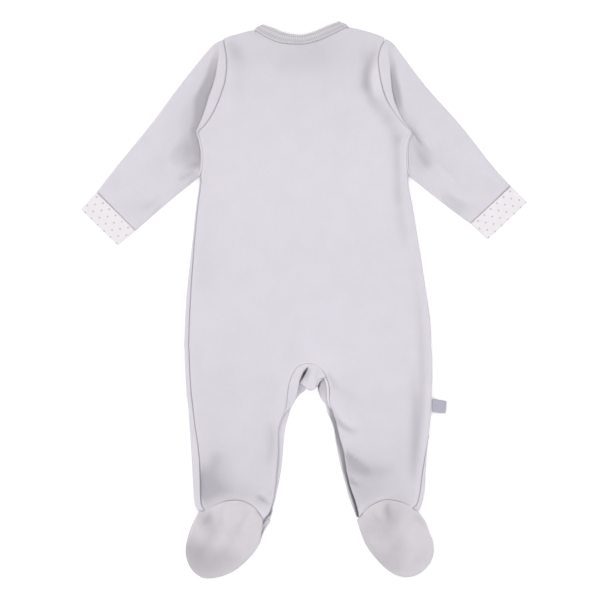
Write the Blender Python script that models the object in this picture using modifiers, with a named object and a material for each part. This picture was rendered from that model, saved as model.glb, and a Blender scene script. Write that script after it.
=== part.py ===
"""A footed baby sleepsuit in cotton interlock, laid flat on its front.

Every piece is a sheet of cloth with a wall: an open grid is moved onto the
piece's outer face, level by level, and Solidify gives it its thickness. The
back lies over the front, the side folds are rounded, and neighbouring pieces
stop SEAM apart. X runs across the garment, Y from the feet to the neck and Z
up from the surface that it lies on. Tables and sizes are in millimetres.
"""

import math
from collections import namedtuple

import bmesh
import bpy
from mathutils import Vector

MM = 0.001

# Cloth
CLOTH = 1.3
CUFF_WALL = 1.8
BINDING_WALL = 1.9
BAND_WALL = 1.5
INSEAM_WALL = 2.0
FOOT_WALL = 1.6
TAG_WALL = 1.0
SEAM = 0.3
HEEL_SEAM = 0.8
TUCKED_SEAM = 0.5
FRONT_NECK_SEAM = 0.9

# The feet: radii of their turned edges, and the short straight run beyond them
SOLE_RADIUS = 2.6
UPPER_RADIUS = 2.05
RIM_RUN = 0.4
SOLE_EDGE_LOW = 3.3

# Heights of the laid garment over the surface
LAY_HEIGHT = 4.9
SIDE_RADIUS = LAY_HEIGHT / 2
SLEEVE_HEIGHT = 4.5
TUCKED_HEIGHT = 3.4
CUFF_HEIGHT = 5.4
BINDING_HEIGHT = 5.6
SOLE_HEIGHT = 6.8
TONGUE_HEIGHT = 3.5
LAP_RISE = 1.7
PLEAT_STEP = 0.7
FOLD_SHARE = 0.03
BELOW_SHARE = 0.04

# Widths of the cloth that turns at an edge, and of the front's lap
EDGE_STRIP = 9.0
TOP_STRIP = 5.0
LAP_HALF_WIDTH = 8.0
INNER_TUCK = 5.5
CROTCH_RISE = 4.5
HEM_WIDTH = 2.0
HEM_TURN = math.radians(50)
ROW_DROOP = 2.6

# Where the levels start to follow the shoulders and the heels, and where the
# front's lap ends at the crotch
SHOULDER_START_Y = 150.0
HEEL_START_Y = -130.0
ARCH_TOP_Y = -66.5
ARCH_START_Y = -10.0
LAP_FADE = 30.0
LAP_SLOPE = 5.0
LAP_FLAT_Y = -80.0
LAP_FLAT_FADE = 14.0

# Lengths over which one form passes into the next
UNDERARM_LEAD = 2.0
UNDERARM_FADE = 8.0
CLOSING_FADE = 9.0
CALM_WIDTH = 10.0
SHOULDER_FADE = 4.0
TUCK_LEAD = 4.0
TUCK_FADE = 10.0
HEM_LEVEL = 5.5
HEM_LEVELS = 1.5

# Levels of the torso, from the shoulder tips to the top of the crotch arch:
# the armholes down to the underarms at y 176, then the side edges.
Torso = namedtuple("Torso", "side_y left_x right_x mid_y mid_x")
TORSO = (
    Torso(268.5, -83.8, 83.8, 263.0, -3.0),
    Torso(261.0, -82.5, 80.5, 258.0, -3.0),
    Torso(247.5, -81.0, 78.0, 245.5, -2.5),
    Torso(230.5, -82.5, 80.0, 229.5, -2.0),
    Torso(213.0, -88.0, 85.5, 212.0, -2.0),
    Torso(197.0, -95.0, 94.5, 195.0, -1.5),
    Torso(184.0, -103.5, 105.0, 179.5, -1.0),
    Torso(176.0, -110.5, 112.5, 169.0, -0.5),
    Torso(166.5, -108.5, 109.5, 157.0, -0.5),
    Torso(154.0, -106.5, 108.0, 143.5, 0.0),
    Torso(139.5, -107.0, 108.5, 128.0, 0.5),
    Torso(120.5, -110.0, 110.0, 109.0, 1.0),
    Torso(96.5, -113.5, 114.5, 83.5, 1.5),
    Torso(69.0, -116.5, 119.0, 55.5, 2.0),
    Torso(41.5, -119.5, 123.5, 27.0, 3.0),
    Torso(14.5, -122.5, 127.5, -1.5, 4.0),
    Torso(-11.0, -124.5, 131.5, -27.5, 4.5),
    Torso(-32.0, -125.5, 133.5, -49.5, 5.0),
    Torso(-48.5, -126.0, 134.0, -66.5, 5.5),
)

# Levels of the legs, from the top of the arch to the ankles. The inner edges
# follow the crotch arch and then the insides of the legs.
Legs = namedtuple("Legs", "side_y left_x right_x inner_y inner_left_x inner_right_x")
LEGS = (
    Legs(-48.5, -126.0, 134.0, -66.5, 5.5, 5.5),
    Legs(-55.0, -125.5, 134.5, -69.0, -4.5, 14.0),
    Legs(-62.0, -125.5, 135.0, -75.0, -10.0, 20.0),
    Legs(-71.5, -125.0, 135.0, -83.5, -14.0, 24.0),
    Legs(-83.0, -124.5, 135.0, -93.5, -16.5, 26.5),
    Legs(-98.0, -123.5, 134.5, -107.5, -18.0, 26.5),
    Legs(-111.5, -122.0, 134.0, -119.0, -21.0, 29.0),
    Legs(-130.5, -120.5, 132.5, -134.5, -25.5, 33.5),
    Legs(-153.5, -119.0, 130.0, -155.5, -27.5, 40.5),
    Legs(-177.5, -117.5, 128.0, -179.0, -28.5, 45.5),
    Legs(-198.5, -116.5, 127.0, -202.0, -31.0, 49.5),
    Legs(-214.5, -115.0, 124.0, -218.0, -34.5, 53.5),
    Legs(-222.0, -111.0, 120.0, -230.5, -43.5, 56.5),
)

# The front's folded bands along the same levels: the free edges of each.
Inseam = namedtuple("Inseam", "left_x left_y right_x right_y")
INSEAM = (
    Inseam(5.3, -77.0, 5.7, -77.0),
    Inseam(4.0, -84.5, 10.5, -84.5),
    Inseam(2.5, -90.5, 14.0, -91.0),
    Inseam(0.5, -96.0, 15.0, -97.0),
    Inseam(-5.0, -100.5, 18.0, -104.0),
    Inseam(-12.5, -111.0, 25.0, -113.0),
    Inseam(-17.0, -122.5, 30.5, -126.5),
    Inseam(-21.0, -137.0, 34.0, -141.0),
    Inseam(-22.5, -158.0, 37.5, -158.0),
    Inseam(-25.0, -179.5, 41.0, -180.0),
    Inseam(-28.5, -201.0, 46.5, -202.0),
    Inseam(-32.0, -217.5, 51.5, -217.5),
    Inseam(-37.5, -230.0, 55.0, -228.0),
)

# How far the front's cloth runs on over the left edge, past its bend, to the
# side seam. On the right the back wraps under instead, by RIGHT_RUN.
LeftSeam = namedtuple("LeftSeam", "y run")
LEFT_SEAM = (
    LeftSeam(176.0, 0.6),
    LeftSeam(100.0, 0.8),
    LeftSeam(70.0, 1.8),
    LeftSeam(40.0, 1.2),
    LeftSeam(-50.0, 2.8),
    LeftSeam(-115.0, 2.4),
    LeftSeam(-141.0, 4.0),
    LeftSeam(-160.0, 5.8),
    LeftSeam(-190.0, 5.2),
    LeftSeam(-222.0, 4.2),
)
RIGHT_RUN = 0.8
SHOULDER_RUN = 0.8

# Top edge of the back: shoulder, neck point, neck seam and on to the right.
NECK_LEFT = (-51.0, 283.5)
NECK_RIGHT = (46.0, 287.0)
SHOULDER_LEFT = ((-84.5, 273.5), (-67.0, 278.5), NECK_LEFT)
SHOULDER_RIGHT = (NECK_RIGHT, (67.0, 281.5), (86.5, 274.0))
BACK_NECK = (
    NECK_LEFT, (-41.0, 276.5), (-25.0, 270.0), (-3.0, 268.0),
    (13.0, 271.5), (29.0, 278.5), NECK_RIGHT,
)
FRONT_NECK = (
    NECK_LEFT, (-44.0, 262.0), (-33.5, 242.0), (-19.0, 229.0), (-2.0, 224.5),
    (14.0, 229.0), (28.5, 243.5), (38.5, 264.0), NECK_RIGHT,
)
BINDING_BACK_FREE = (
    (-42.0, 288.5), (-31.5, 285.0), (-21.0, 280.5), (-4.5, 277.5),
    (9.0, 280.5), (21.0, 286.0), (35.0, 291.5),
)
BINDING_FRONT_FREE = (
    (-42.0, 288.5), (-35.0, 266.5), (-25.5, 250.0), (-14.5, 238.5), (-2.0, 234.5),
    (9.5, 239.0), (20.0, 251.5), (29.5, 268.5), (35.0, 291.5),
)

# Heel arcs, where the back meets the soles, from the left to the right.
HEEL_LEFT = (
    (-111.0, -222.5), (-101.5, -219.5), (-86.0, -213.0), (-70.0, -211.0),
    (-56.5, -215.5), (-48.5, -222.5), (-43.5, -230.5),
)
HEEL_RIGHT = (
    (56.5, -230.5), (67.0, -219.0), (79.0, -212.5), (89.0, -210.5),
    (102.5, -213.0), (112.0, -217.0), (120.0, -222.0),
)

# Free edges of the feet, from the inner ankle round the toe to the outer one.
SOLE_LEFT = (
    (-43.5, -232.0), (-44.5, -244.0), (-49.5, -261.5), (-67.0, -280.5),
    (-82.0, -289.0), (-97.0, -292.5), (-108.0, -291.5), (-118.0, -283.5),
    (-123.5, -271.5), (-124.0, -258.5), (-119.5, -241.0), (-112.0, -225.5),
)
SOLE_RIGHT = (
    (120.5, -223.5), (127.5, -233.0), (131.5, -244.0), (135.5, -254.0),
    (136.0, -268.0), (130.5, -279.5), (121.0, -288.0), (108.0, -291.5),
    (94.0, -288.0), (80.5, -277.5), (66.5, -260.0), (61.0, -246.0), (56.5, -232.0),
)
UPPER_LEFT = (
    (-38.0, -231.5), (-43.0, -246.0), (-49.5, -261.5), (-67.0, -280.5),
    (-82.0, -289.0), (-97.0, -292.5), (-108.0, -291.5), (-118.0, -283.5),
    (-123.5, -271.5), (-124.0, -258.5), (-119.5, -241.0), (-112.5, -228.0),
    (-111.0, -223.0),
)
UPPER_RIGHT = (
    (120.0, -223.0), (127.5, -233.0), (131.5, -244.0), (135.5, -254.0),
    (136.0, -268.0), (130.5, -279.5), (121.0, -288.0), (108.0, -291.5),
    (94.0, -288.0), (80.5, -277.5), (66.5, -260.0), (60.0, -246.0), (55.5, -231.5),
)

# Sleeves. The top edge runs from the shoulder tip to the cuff, the low edge
# from where the sleeve comes out under the side of the body.
SLEEVE_TOP_LEFT = (
    (-84.5, 273.5), (-91.5, 270.5), (-101.0, 262.0), (-128.0, 228.5),
    (-161.5, 183.5), (-195.5, 142.0), (-218.0, 113.0),
)
SLEEVE_LOW_LEFT = ((-110.0, 129.0), (-119.5, 121.5), (-148.0, 98.0), (-177.0, 72.5))
SLEEVE_TOP_RIGHT = (
    (86.5, 274.0), (93.0, 270.0), (101.0, 260.0), (130.0, 222.0),
    (164.0, 184.0), (197.5, 141.5), (217.5, 119.5),
)
SLEEVE_LOW_RIGHT = ((109.5, 131.0), (122.0, 120.5), (148.0, 100.0), (175.0, 80.0))

# Each sleeve's cloth is folded under itself beside the armhole. The fold
# stands out from the armhole seam by `out` at a height y, and drops by `drop`.
Pleat = namedtuple("Pleat", "y left_out left_drop right_out right_drop")
PLEATS = (
    Pleat(273.5, 6.0, 0.0, 5.0, 0.0),
    Pleat(258.0, 7.5, 0.2, 9.5, 0.1),
    Pleat(247.0, 10.0, 1.3, 13.0, 0.6),
    Pleat(230.0, 11.5, 1.5, 13.0, 1.4),
    Pleat(213.0, 12.0, 1.5, 11.5, 1.5),
    Pleat(197.0, 10.0, 1.5, 8.5, 1.4),
    Pleat(184.0, 6.5, 0.9, 5.0, 0.9),
    Pleat(176.0, 2.0, 0.0, 2.0, 0.0),
    Pleat(120.0, 2.0, 0.0, 2.0, 0.0),
)

# Cuffs: the corners at the wrist.
CUFF_LEFT = ((-234.5, 95.0), (-195.5, 57.0))
CUFF_RIGHT = ((234.5, 102.5), (192.5, 63.0))

# The facing band in the crotch arch: its free edge, along the leg levels.
ARCH_FREE_LEFT = (
    (5.5, -71.8), (1.0, -72.2), (-1.5, -76.0), (-4.0, -85.5),
    (-5.5, -96.0), (-10.0, -107.5), (-19.5, -118.5),
)
ARCH_FREE_RIGHT = (
    (5.5, -71.8), (12.0, -73.0), (17.0, -77.5), (21.3, -85.0),
    (24.0, -94.5), (24.8, -107.5), (28.0, -118.5),
)

# The rounded tongue that hangs in the arch: half widths down its length.
Tongue = namedtuple("Tongue", "y mid_x half_width")
TONGUE = (
    Tongue(-68.5, 10.5, 6.5),
    Tongue(-74.0, 10.3, 7.5),
    Tongue(-81.0, 8.5, 9.0),
    Tongue(-87.0, 6.8, 8.4),
    Tongue(-92.0, 6.0, 6.5),
    Tongue(-95.8, 6.0, 3.0),
)

# The side tag: a folded loop of tape in the right side seam.
TAG_ROOT = ((135.1, -104.0), (134.8, -118.0))
TAG_END = ((150.0, -106.5), (149.0, -119.5))
TAG_LOW = 0.6
TAG_RADIUS = 1.2

# Large soft folds: troughs (height below zero) and swells of the upper cloth.
Fold = namedtuple("Fold", "x0 y0 x1 y1 width height")
FOLDS = (
    Fold(65, 258, 64, 225, 7, -1.0),
    Fold(64, 225, 86, 192, 7, -0.7),
    Fold(88, 188, 99, 168, 7, -0.7),
    Fold(99, 168, 99, 108, 6, -0.8),
    Fold(78, 240, 74, 215, 7, 0.7),
    Fold(-69, 262, -64, 248, 7, -0.6),
    Fold(-76, 236, -80, 205, 8, 0.6),
    Fold(-20, 250, 18, 250, 12, -0.5),
    Fold(-60, 120, 50, 130, 60, 0.5),
    Fold(-100, 100, -104, 20, 9, -0.4),
    Fold(-88, -172, -105, -208, 11, -0.9),
    Fold(-47, -212, -36, -206, 4, -0.6),
    Fold(-36, -132, -37, -168, 5, -0.5),
    Fold(-70, -120, -72, -175, 18, 0.5),
    Fold(36, -128, 54, -137, 4, -0.7),
    Fold(47, -164, 66, -180, 5, -1.1),
    Fold(48, -190, 62, -194, 4, -0.6),
    Fold(118, -104, 117, -182, 6, -0.7),
    Fold(85, -130, 90, -180, 16, 0.4),
    Fold(5, -66, 5, -72, 26, 0.6),
)
SLEEVE_FOLDS = (
    Fold(-122, 158, -138, 150, 12, -0.7),
    Fold(-118, 133, -128, 128, 5, -0.6),
    Fold(-150, 170, -176, 120, 13, 0.5),
    Fold(115, 172, 130, 143, 5, -0.7),
    Fold(122, 180, 140, 152, 5, 0.5),
    Fold(150, 170, 170, 120, 13, 0.4),
    Fold(150, 108, 163, 98, 6, -0.5),
)

# How the sleeve's cross lines crowd towards the armhole, and how soon its upper
# face is level and its folds begin
SLEEVE_CROWDING = 0.4
SETTLE_RATE = 2.2
RELIEF_RATE = 3.0
EDGE_CLEARANCE = 1.0
CUFF_CLEARANCE = 0.8

# The feet: their middles, how the sole joins the heel arc, and where the toe turns up
FOOT_MIDDLES = {-1: (-84.0, -252.0), 1: (96.0, -250.0)}
JOIN_WIDTH = 8.0
ARC_REACH = 1.5
TOE_TURN_Y = -232.0
TOE_TURN_FADE = 12.0

# The middle of the crotch arch, and the ways that the binding turns at the shoulders
ARCH_MIDDLE = (5.5, -98.0)
FOLD_LEFT = (-0.5, 0.87)
FOLD_RIGHT = (0.42, 0.91)

# How finely the sheets are divided
TORSO_ROWS = 21
LEG_ROWS = 14
BACK_COLUMNS = 8
FRONT_COLUMNS = 6
FLAT_COLUMNS = 2
ARC_STEPS = 4
BAND_COLUMNS = 3
TONGUE_ROWS = 8
BINDING_STEPS = 8
SLEEVE_ROWS = 7
CUFF_ROWS = 2
FOOT_RINGS = 7
RIM_RINGS = 3

LILAC_GREY = (0.715, 0.690, 0.745, 1.0)
SOLE_GREY = (0.640, 0.610, 0.650, 1.0)
BINDING_GREY = (0.600, 0.585, 0.620, 1.0)
CUFF_WHITE = (0.860, 0.820, 0.845, 1.0)
TAG_GREY = (0.520, 0.500, 0.600, 1.0)


# ---------------------------------------------------------------- curves


def smooth(t):
    """0 below 0, 1 above 1, and an even S between."""
    t = min(max(t, 0.0), 1.0)
    return t * t * (3.0 - 2.0 * t)


def lerp(a, b, t):
    return a + (b - a) * t


def spline(rows, t):
    """A smooth curve through the rows of a table, t counted in rows."""
    last = len(rows) - 1
    t = min(max(t, 0.0), float(last))
    i = min(int(t), last - 1)
    f = t - i
    before, a, b, after = (rows[min(max(k, 0), last)] for k in (i - 1, i, i + 1, i + 2))
    values = []
    for p, q, r, s in zip(before, a, b, after):
        slope_q, slope_r = (r - p) / 2, (s - q) / 2
        values.append(
            q * (2 * f**3 - 3 * f**2 + 1)
            + slope_q * (f**3 - 2 * f**2 + f)
            + r * (3 * f**2 - 2 * f**3)
            + slope_r * (f**3 - f**2)
        )
    return values


def row_at(table, value):
    """The row of a table at a value of its first column, which falls down the table."""
    rows = sorted(table, key=lambda row: row[0])
    if value <= rows[0][0]:
        return rows[0]
    for low, high in zip(rows, rows[1:]):
        if value <= high[0]:
            t = (value - low[0]) / (high[0] - low[0])
            return type(low)(*(lerp(p, q, t) for p, q in zip(low, high)))
    return rows[-1]


def run_of(points, steps=12):
    """A smooth curve through the points, as many short straight steps."""
    count = (len(points) - 1) * steps
    return [Vector(spline(points, k / steps)) for k in range(count + 1)]


def along(run, fraction):
    """The point at a fraction of a run's length."""
    lengths = [0.0]
    for p, q in zip(run, run[1:]):
        lengths.append(lengths[-1] + (q - p).length)
    wanted = min(max(fraction, 0.0), 1.0) * lengths[-1]
    for k in range(1, len(run)):
        if lengths[k] >= wanted:
            span = lengths[k] - lengths[k - 1]
            return run[k - 1].lerp(run[k], (wanted - lengths[k - 1]) / span if span else 0)
    return run[-1].copy()


def y_on(run, x):
    """The height of a run that goes steadily across, at x."""
    ordered = sorted(run, key=lambda p: p.x)
    if x <= ordered[0].x:
        return ordered[0].y
    for p, q in zip(ordered, ordered[1:]):
        if x <= q.x:
            return lerp(p.y, q.y, (x - p.x) / (q.x - p.x) if q.x > p.x else 0)
    return ordered[-1].y


def x_on(run, y):
    """Where a run that goes steadily down is, at a height."""
    return y_on([Vector((p.y, p.x)) for p in run], y)


def fold_relief(folds, x, y):
    """The height that the folds add to the upper cloth at a place."""
    total = 0.0
    for fold in folds:
        dx, dy = fold.x1 - fold.x0, fold.y1 - fold.y0
        t = ((x - fold.x0) * dx + (y - fold.y0) * dy) / (dx * dx + dy * dy)
        t = min(max(t, 0.0), 1.0)
        away = math.hypot(x - fold.x0 - t * dx, y - fold.y0 - t * dy)
        total += fold.height * math.exp(-((away / fold.width) ** 2))
    return total


def body_height(x, y):
    return LAY_HEIGHT + fold_relief(FOLDS, x, y)


def turned(distance, turn, radius):
    """How far out and how far round a strip of cloth is, distance past its bend."""
    arc = min(distance, radius * turn)
    angle = arc / radius
    rest = distance - arc
    out = radius * math.sin(angle) + rest * math.cos(turn)
    drop = radius * (1 - math.cos(angle)) + rest * math.sin(turn)
    return out, drop


# ---------------------------------------------------------------- meshes


def clear_scene():
    for thing in list(bpy.data.objects):
        bpy.data.objects.remove(thing, do_unlink=True)


def cloth_material(name, colour):
    material = bpy.data.materials.new(name)
    material.use_nodes = True
    shader = material.node_tree.nodes["Principled BSDF"]
    shader.inputs["Base Color"].default_value = colour
    shader.inputs["Roughness"].default_value = 0.9
    shader.inputs["Metallic"].default_value = 0.0
    return material


def grid_on(bm, rows):
    """A grid whose vertices lie on the rows of points, first row first."""
    across, up = len(rows[0]) - 1, len(rows) - 1
    made = bmesh.ops.create_grid(bm, x_segments=across, y_segments=up, size=1.0)
    for vert in made["verts"]:
        i = round((vert.co.x + 1) / 2 * across)
        j = round((vert.co.y + 1) / 2 * up)
        vert.co = Vector(rows[j][i]) * MM
    return made["verts"]


def cloth_piece(collection, name, grids, wall, material, facing_up=True):
    """One sheet from one or more grids that share edges, with a wall on its inner side."""
    bm = bmesh.new()
    for rows in grids:
        grid_on(bm, rows)
    bmesh.ops.remove_doubles(bm, verts=bm.verts, dist=1e-6)
    if not facing_up:
        bmesh.ops.reverse_faces(bm, faces=bm.faces)
    mesh = bpy.data.meshes.new(name)
    bm.to_mesh(mesh)
    bm.free()
    mesh.shade_smooth()
    mesh.materials.append(material)
    piece = bpy.data.objects.new(name, mesh)
    collection.objects.link(piece)
    solidify = piece.modifiers.new("Wall", "SOLIDIFY")
    solidify.thickness = wall * MM
    solidify.offset = -1.0
    return piece


# ---------------------------------------------------------------- body


TOP_RUN = run_of(SHOULDER_LEFT)[:-1] + run_of(BACK_NECK)[:-1] + run_of(SHOULDER_RIGHT)
FRONT_TOP_RUN = run_of(FRONT_NECK)
HEEL_RUNS = {-1: run_of(HEEL_LEFT), 1: run_of(HEEL_RIGHT)}
UNDERARM_Y = TORSO[7].side_y


def body_level(part, t):
    """Side and inner points of a level: side y, {side: x}, inner y, {side: x}."""
    if part == "torso":
        side_y, left, right, inner_y, middle = spline(TORSO, t)
        return side_y, {-1: left, 1: right}, inner_y, {-1: middle, 1: middle}
    side_y, left, right, inner_y, inner_left, inner_right = spline(LEGS, t)
    return side_y, {-1: left, 1: right}, inner_y, {-1: inner_left, 1: inner_right}


def closing(y):
    """0 beside an armhole, where the panels end flat, and 1 below the underarm."""
    return smooth((UNDERARM_Y - y) / CLOSING_FADE)


def wrapping(y):
    """0 beside an armhole and 1 below it, for an edge that starts to turn a little higher."""
    return smooth((UNDERARM_Y + UNDERARM_LEAD - y) / UNDERARM_FADE)


def lap_at(part, inner_y):
    """Half the width by which the front's two halves lap, which ends at the crotch."""
    return LAP_HALF_WIDTH * smooth((inner_y - ARCH_TOP_Y) / LAP_FADE) if part == "torso" else 0.0


def back_edge(side, y, edge_x):
    """Where the back starts to bend at its side, how far it turns, and its run beyond."""
    closed = wrapping(y)
    if side > 0:
        return edge_x - SIDE_RADIUS * closed, math.pi * closed, RIGHT_RUN * closed
    inset = SIDE_RADIUS + row_at(LEFT_SEAM, y).run + SEAM
    return edge_x + inset * closed, 0.0, 0.0


def front_edge(side, y, edge_x):
    """Where the front starts to bend at its side, how far it turns, and its run beyond."""
    closed = closing(y)
    if side < 0:
        run = row_at(LEFT_SEAM, y).run
        return edge_x + SIDE_RADIUS * closed, math.pi * closed, run * closed
    return edge_x - (SIDE_RADIUS + RIGHT_RUN + SEAM) * wrapping(y), 0.0, 0.0


def bend_knots(turn, run, radius, length):
    """Distances along a strip of cloth: its start, its bend in steps, and its end."""
    bent = radius * turn + run
    end_run = max(run, 0.6)
    first = length - max(bent, 5.0)
    steps = [lerp(first, length - end_run, k / ARC_STEPS) for k in range(ARC_STEPS + 1)]
    return [0.0] + steps + [length]


def edge_strip(side, bend_x, turn, run, bends):
    """(x, drop) across the cloth beside an edge, from inside it to its end."""
    if not bends:
        steps = range(FLAT_COLUMNS, -1, -1)
        return [(bend_x - side * EDGE_STRIP * k / FLAT_COLUMNS, 0.0) for k in steps]
    length = max(EDGE_STRIP, SIDE_RADIUS * turn + run + 2.0)
    lead = length - SIDE_RADIUS * turn - run
    points = []
    for distance in bend_knots(turn, run, SIDE_RADIUS, length):
        out, drop = turned(max(distance - lead, 0.0), turn, SIDE_RADIUS)
        points.append((bend_x + side * (out + min(distance - lead, 0.0)), drop))
    return points


def flat_columns(panel, side, inner_x, lap, start_x, follow):
    """The columns between the inner edge and the side strip, one on the neck point."""
    if panel == "back":
        first, outer_count, count = [inner_x, inner_x + side * HEM_WIDTH], 3, BACK_COLUMNS
    else:
        steps = (0.0, lap + 0.5, 2 * lap + 1.0, 2 * lap + 6.0)
        first = [inner_x + side * step for step in steps]
        outer_count, count = 2, FRONT_COLUMNS
    neck_x = (NECK_LEFT if side < 0 else NECK_RIGHT)[0]
    neck_count = count - outer_count
    columns = list(first)
    for k in range(1, count):
        even = lerp(first[-1], start_x, k / count)
        if k <= neck_count:
            necked = lerp(first[-1], neck_x, k / neck_count)
        else:
            necked = lerp(neck_x, start_x, (k - neck_count) / outer_count)
        columns.append(lerp(even, necked, follow))
    return columns


def front_inner(part, t, side, inner_x, inner_y):
    """The front's inner edge: the lap's edge, then inside the leg's inner edge."""
    if part == "torso":
        rise = CROTCH_RISE * smooth((ARCH_START_Y - inner_y) / (ARCH_START_Y - ARCH_TOP_Y))
        return inner_x - side * (lap_at(part, inner_y) - SEAM / 2), inner_y + rise
    tuck = INNER_TUCK * smooth(t / 3.0)
    rise = CROTCH_RISE * (1 - smooth(t / 4.0))
    return inner_x + side * (tuck + SEAM / 2), inner_y + rise


def front_top(x):
    """The front's top edge: the shoulders, and a neckline that is cut lower."""
    if NECK_LEFT[0] <= x <= NECK_RIGHT[0]:
        return y_on(FRONT_TOP_RUN, x)
    return y_on(TOP_RUN, x)


def ankle_y(side, x):
    """The straight seam across the front of an ankle."""
    outline = UPPER_LEFT if side < 0 else UPPER_RIGHT
    (x0, y0), (x1, y1) = outline[0], outline[-1]
    return lerp(y0, y1, (x - x0) / (x1 - x0)) + SEAM


def shoulder_follow(side_y):
    """0 low on the torso, and 1 where its levels follow the shoulders."""
    return smooth((side_y - SHOULDER_START_Y) / (TORSO[0].side_y - SHOULDER_START_Y))


def panel_y(part, panel, side, level, x, drop):
    """The height of a level at x: it droops to the crotch, and follows the end edges.

    Cloth that has turned round an edge ends level with the panel that it meets.
    """
    side_y, edge_x, inner_y, inner_x = level
    u = min(max((x - edge_x) / (inner_x - edge_x), 0.0), 1.0)
    y = lerp(side_y, inner_y, u**ROW_DROOP)
    if part == "torso":
        top = (y_on(TOP_RUN, x) if panel == "back" else front_top(x)) - TOP_STRIP
        first = lerp(TORSO[0].side_y, TORSO[0].mid_y, u**ROW_DROOP)
        follow = shoulder_follow(side_y) ** 2
        return y + (top - first) * follow
    follow = smooth((side_y - HEEL_START_Y) / (LEGS[-1].side_y - HEEL_START_Y)) ** 3
    ends = [y_on(HEEL_RUNS[side], x) + HEEL_SEAM, ankle_y(side, x)]
    own, other = ends if panel == "back" else reversed(ends)
    low = lerp(own, other, smooth(drop / LAY_HEIGHT))
    last = lerp(LEGS[-1].side_y, LEGS[-1].inner_y, u**ROW_DROOP)
    return y + (low - last) * follow


def half_level(part, panel, t, side):
    """One level of half a panel, from its inner edge out: (x, y, drop, fold share)."""
    side_y, edge, inner_y, inner = body_level(part, t)
    edge_x, inner_x = edge[side], inner[side]
    lap = lap_at(part, inner_y)
    if panel == "back":
        bend_x, turn, run = back_edge(side, side_y, edge_x)
    else:
        bend_x, turn, run = front_edge(side, side_y, edge_x)
        inner_x, inner_y = front_inner(part, t, side, inner_x, inner_y)
    bends = (side > 0) == (panel == "back")
    strip = edge_strip(side, bend_x, turn, run, bends)
    follow = shoulder_follow(side_y) if part == "torso" else 0.0
    flat = [(x, 0.0) for x in flat_columns(panel, side, inner_x, lap, strip[0][0], follow)]
    level = (side_y, edge_x, inner_y, inner_x)
    closed = closing(side_y)
    points = []
    for x, drop in flat + strip:
        away = max(side * (edge_x - side * SIDE_RADIUS - x), 0.0)
        share = 1 - closed * (1 - smooth(away / CALM_WIDTH))
        points.append((x, panel_y(part, panel, side, level, x, drop), drop, share))
    return points


def shoulder_turn(x):
    """The cloth turns right round at the shoulders, and lies flat at the neck."""
    left = smooth((NECK_LEFT[0] - x) / SHOULDER_FADE)
    right = smooth((x - NECK_RIGHT[0]) / SHOULDER_FADE)
    return math.pi * max(left, right)


def hem_tip(side, t, point):
    """A leg's inner edge, turned down a little below the crotch arch."""
    x, y, z = point
    turn = HEM_TURN * smooth((t - HEM_LEVEL) / HEM_LEVELS)
    if turn == 0:
        return point
    out, drop = turned(HEM_WIDTH, turn, HEM_WIDTH / turn)
    return (x + side * (HEM_WIDTH - out), y, z - drop)


def back_rows(part, side, count):
    """Rows of points on half the back's upper face, from the feet up."""
    table = TORSO if part == "torso" else LEGS
    rows = []
    for r in range(count, -1, -1):
        t = r * (len(table) - 1) / count
        row = []
        for x, y, drop, share in half_level(part, "back", t, side):
            row.append((x, y, LAY_HEIGHT + share * fold_relief(FOLDS, x, y) - drop))
        if part == "legs":
            row[0] = hem_tip(side, t, row[0])
        rows.append(row)
    if part == "torso":
        rows += top_rows(rows[-1])
    return rows


def top_rows(last_row):
    """The rows beyond the last level: round the shoulders, or flat to the neck seam."""
    columns = []
    for x, y, z in last_row:
        turn, radius = shoulder_turn(x), z / 2
        run = SHOULDER_RUN * turn / math.pi
        lead = TOP_STRIP - radius * math.sin(min(turn, math.pi / 2))
        length = lead + radius * turn + run
        column = []
        for distance in bend_knots(turn, run, radius, length)[2:]:
            out, drop = turned(max(distance - lead, 0.0), turn, radius)
            column.append((x, y + min(distance, lead) + out, z - drop))
        columns.append(column)
    return [list(row) for row in zip(*columns)]


def front_rows(part, side, count):
    """Rows of points on half the front's lower face, from the feet up."""
    table = TORSO if part == "torso" else LEGS
    rows = []
    for r in range(count, -1, -1):
        t = r * (len(table) - 1) / count
        _, _, inner_y, inner = body_level(part, t)
        lap_end = inner[side] + lap_at(part, inner_y) + 1.0
        row = []
        for x, y, rise, _ in half_level(part, "front", t, side):
            lifted = smooth((lap_end + LAP_SLOPE - x) / LAP_SLOPE) if side > 0 else 0.0
            lapped = smooth((y - LAP_FLAT_Y) / LAP_FLAT_FADE)
            row.append((x, y, rise + LAP_RISE * lifted * lapped))
        rows.append(row)
    if part == "torso":
        last = []
        for x, y, z in rows[-1]:
            beyond_neck = max(NECK_LEFT[0] + SHOULDER_FADE - x, x - NECK_RIGHT[0] + SHOULDER_FADE)
            short = (SIDE_RADIUS + SHOULDER_RUN + HEEL_SEAM) * smooth(beyond_neck / SHOULDER_FADE)
            last.append((x, y + TOP_STRIP - short, z))
        rows.append(last)
    return rows


def make_body(collection, cloth):
    """The back, and the two halves of the front under it."""
    grids = []
    for part, count in (("torso", TORSO_ROWS), ("legs", LEG_ROWS)):
        for side in (-1, 1):
            grids.append(across(side, back_rows(part, side, count)))
    cloth_piece(collection, "back_panel", grids, CLOTH, cloth)
    for side, name in ((-1, "front_left"), (1, "front_right")):
        torso, legs = front_rows("torso", side, TORSO_ROWS), front_rows("legs", side, LEG_ROWS)
        grids = [across(side, torso), across(side, legs)]
        cloth_piece(collection, name, grids, CLOTH, cloth, facing_up=False)


def across(side, rows):
    """Rows run from the left to the right, so a left half's are turned round."""
    return [list(reversed(row)) for row in rows] if side < 0 else rows


# ---------------------------------------------------------------- sleeves


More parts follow.
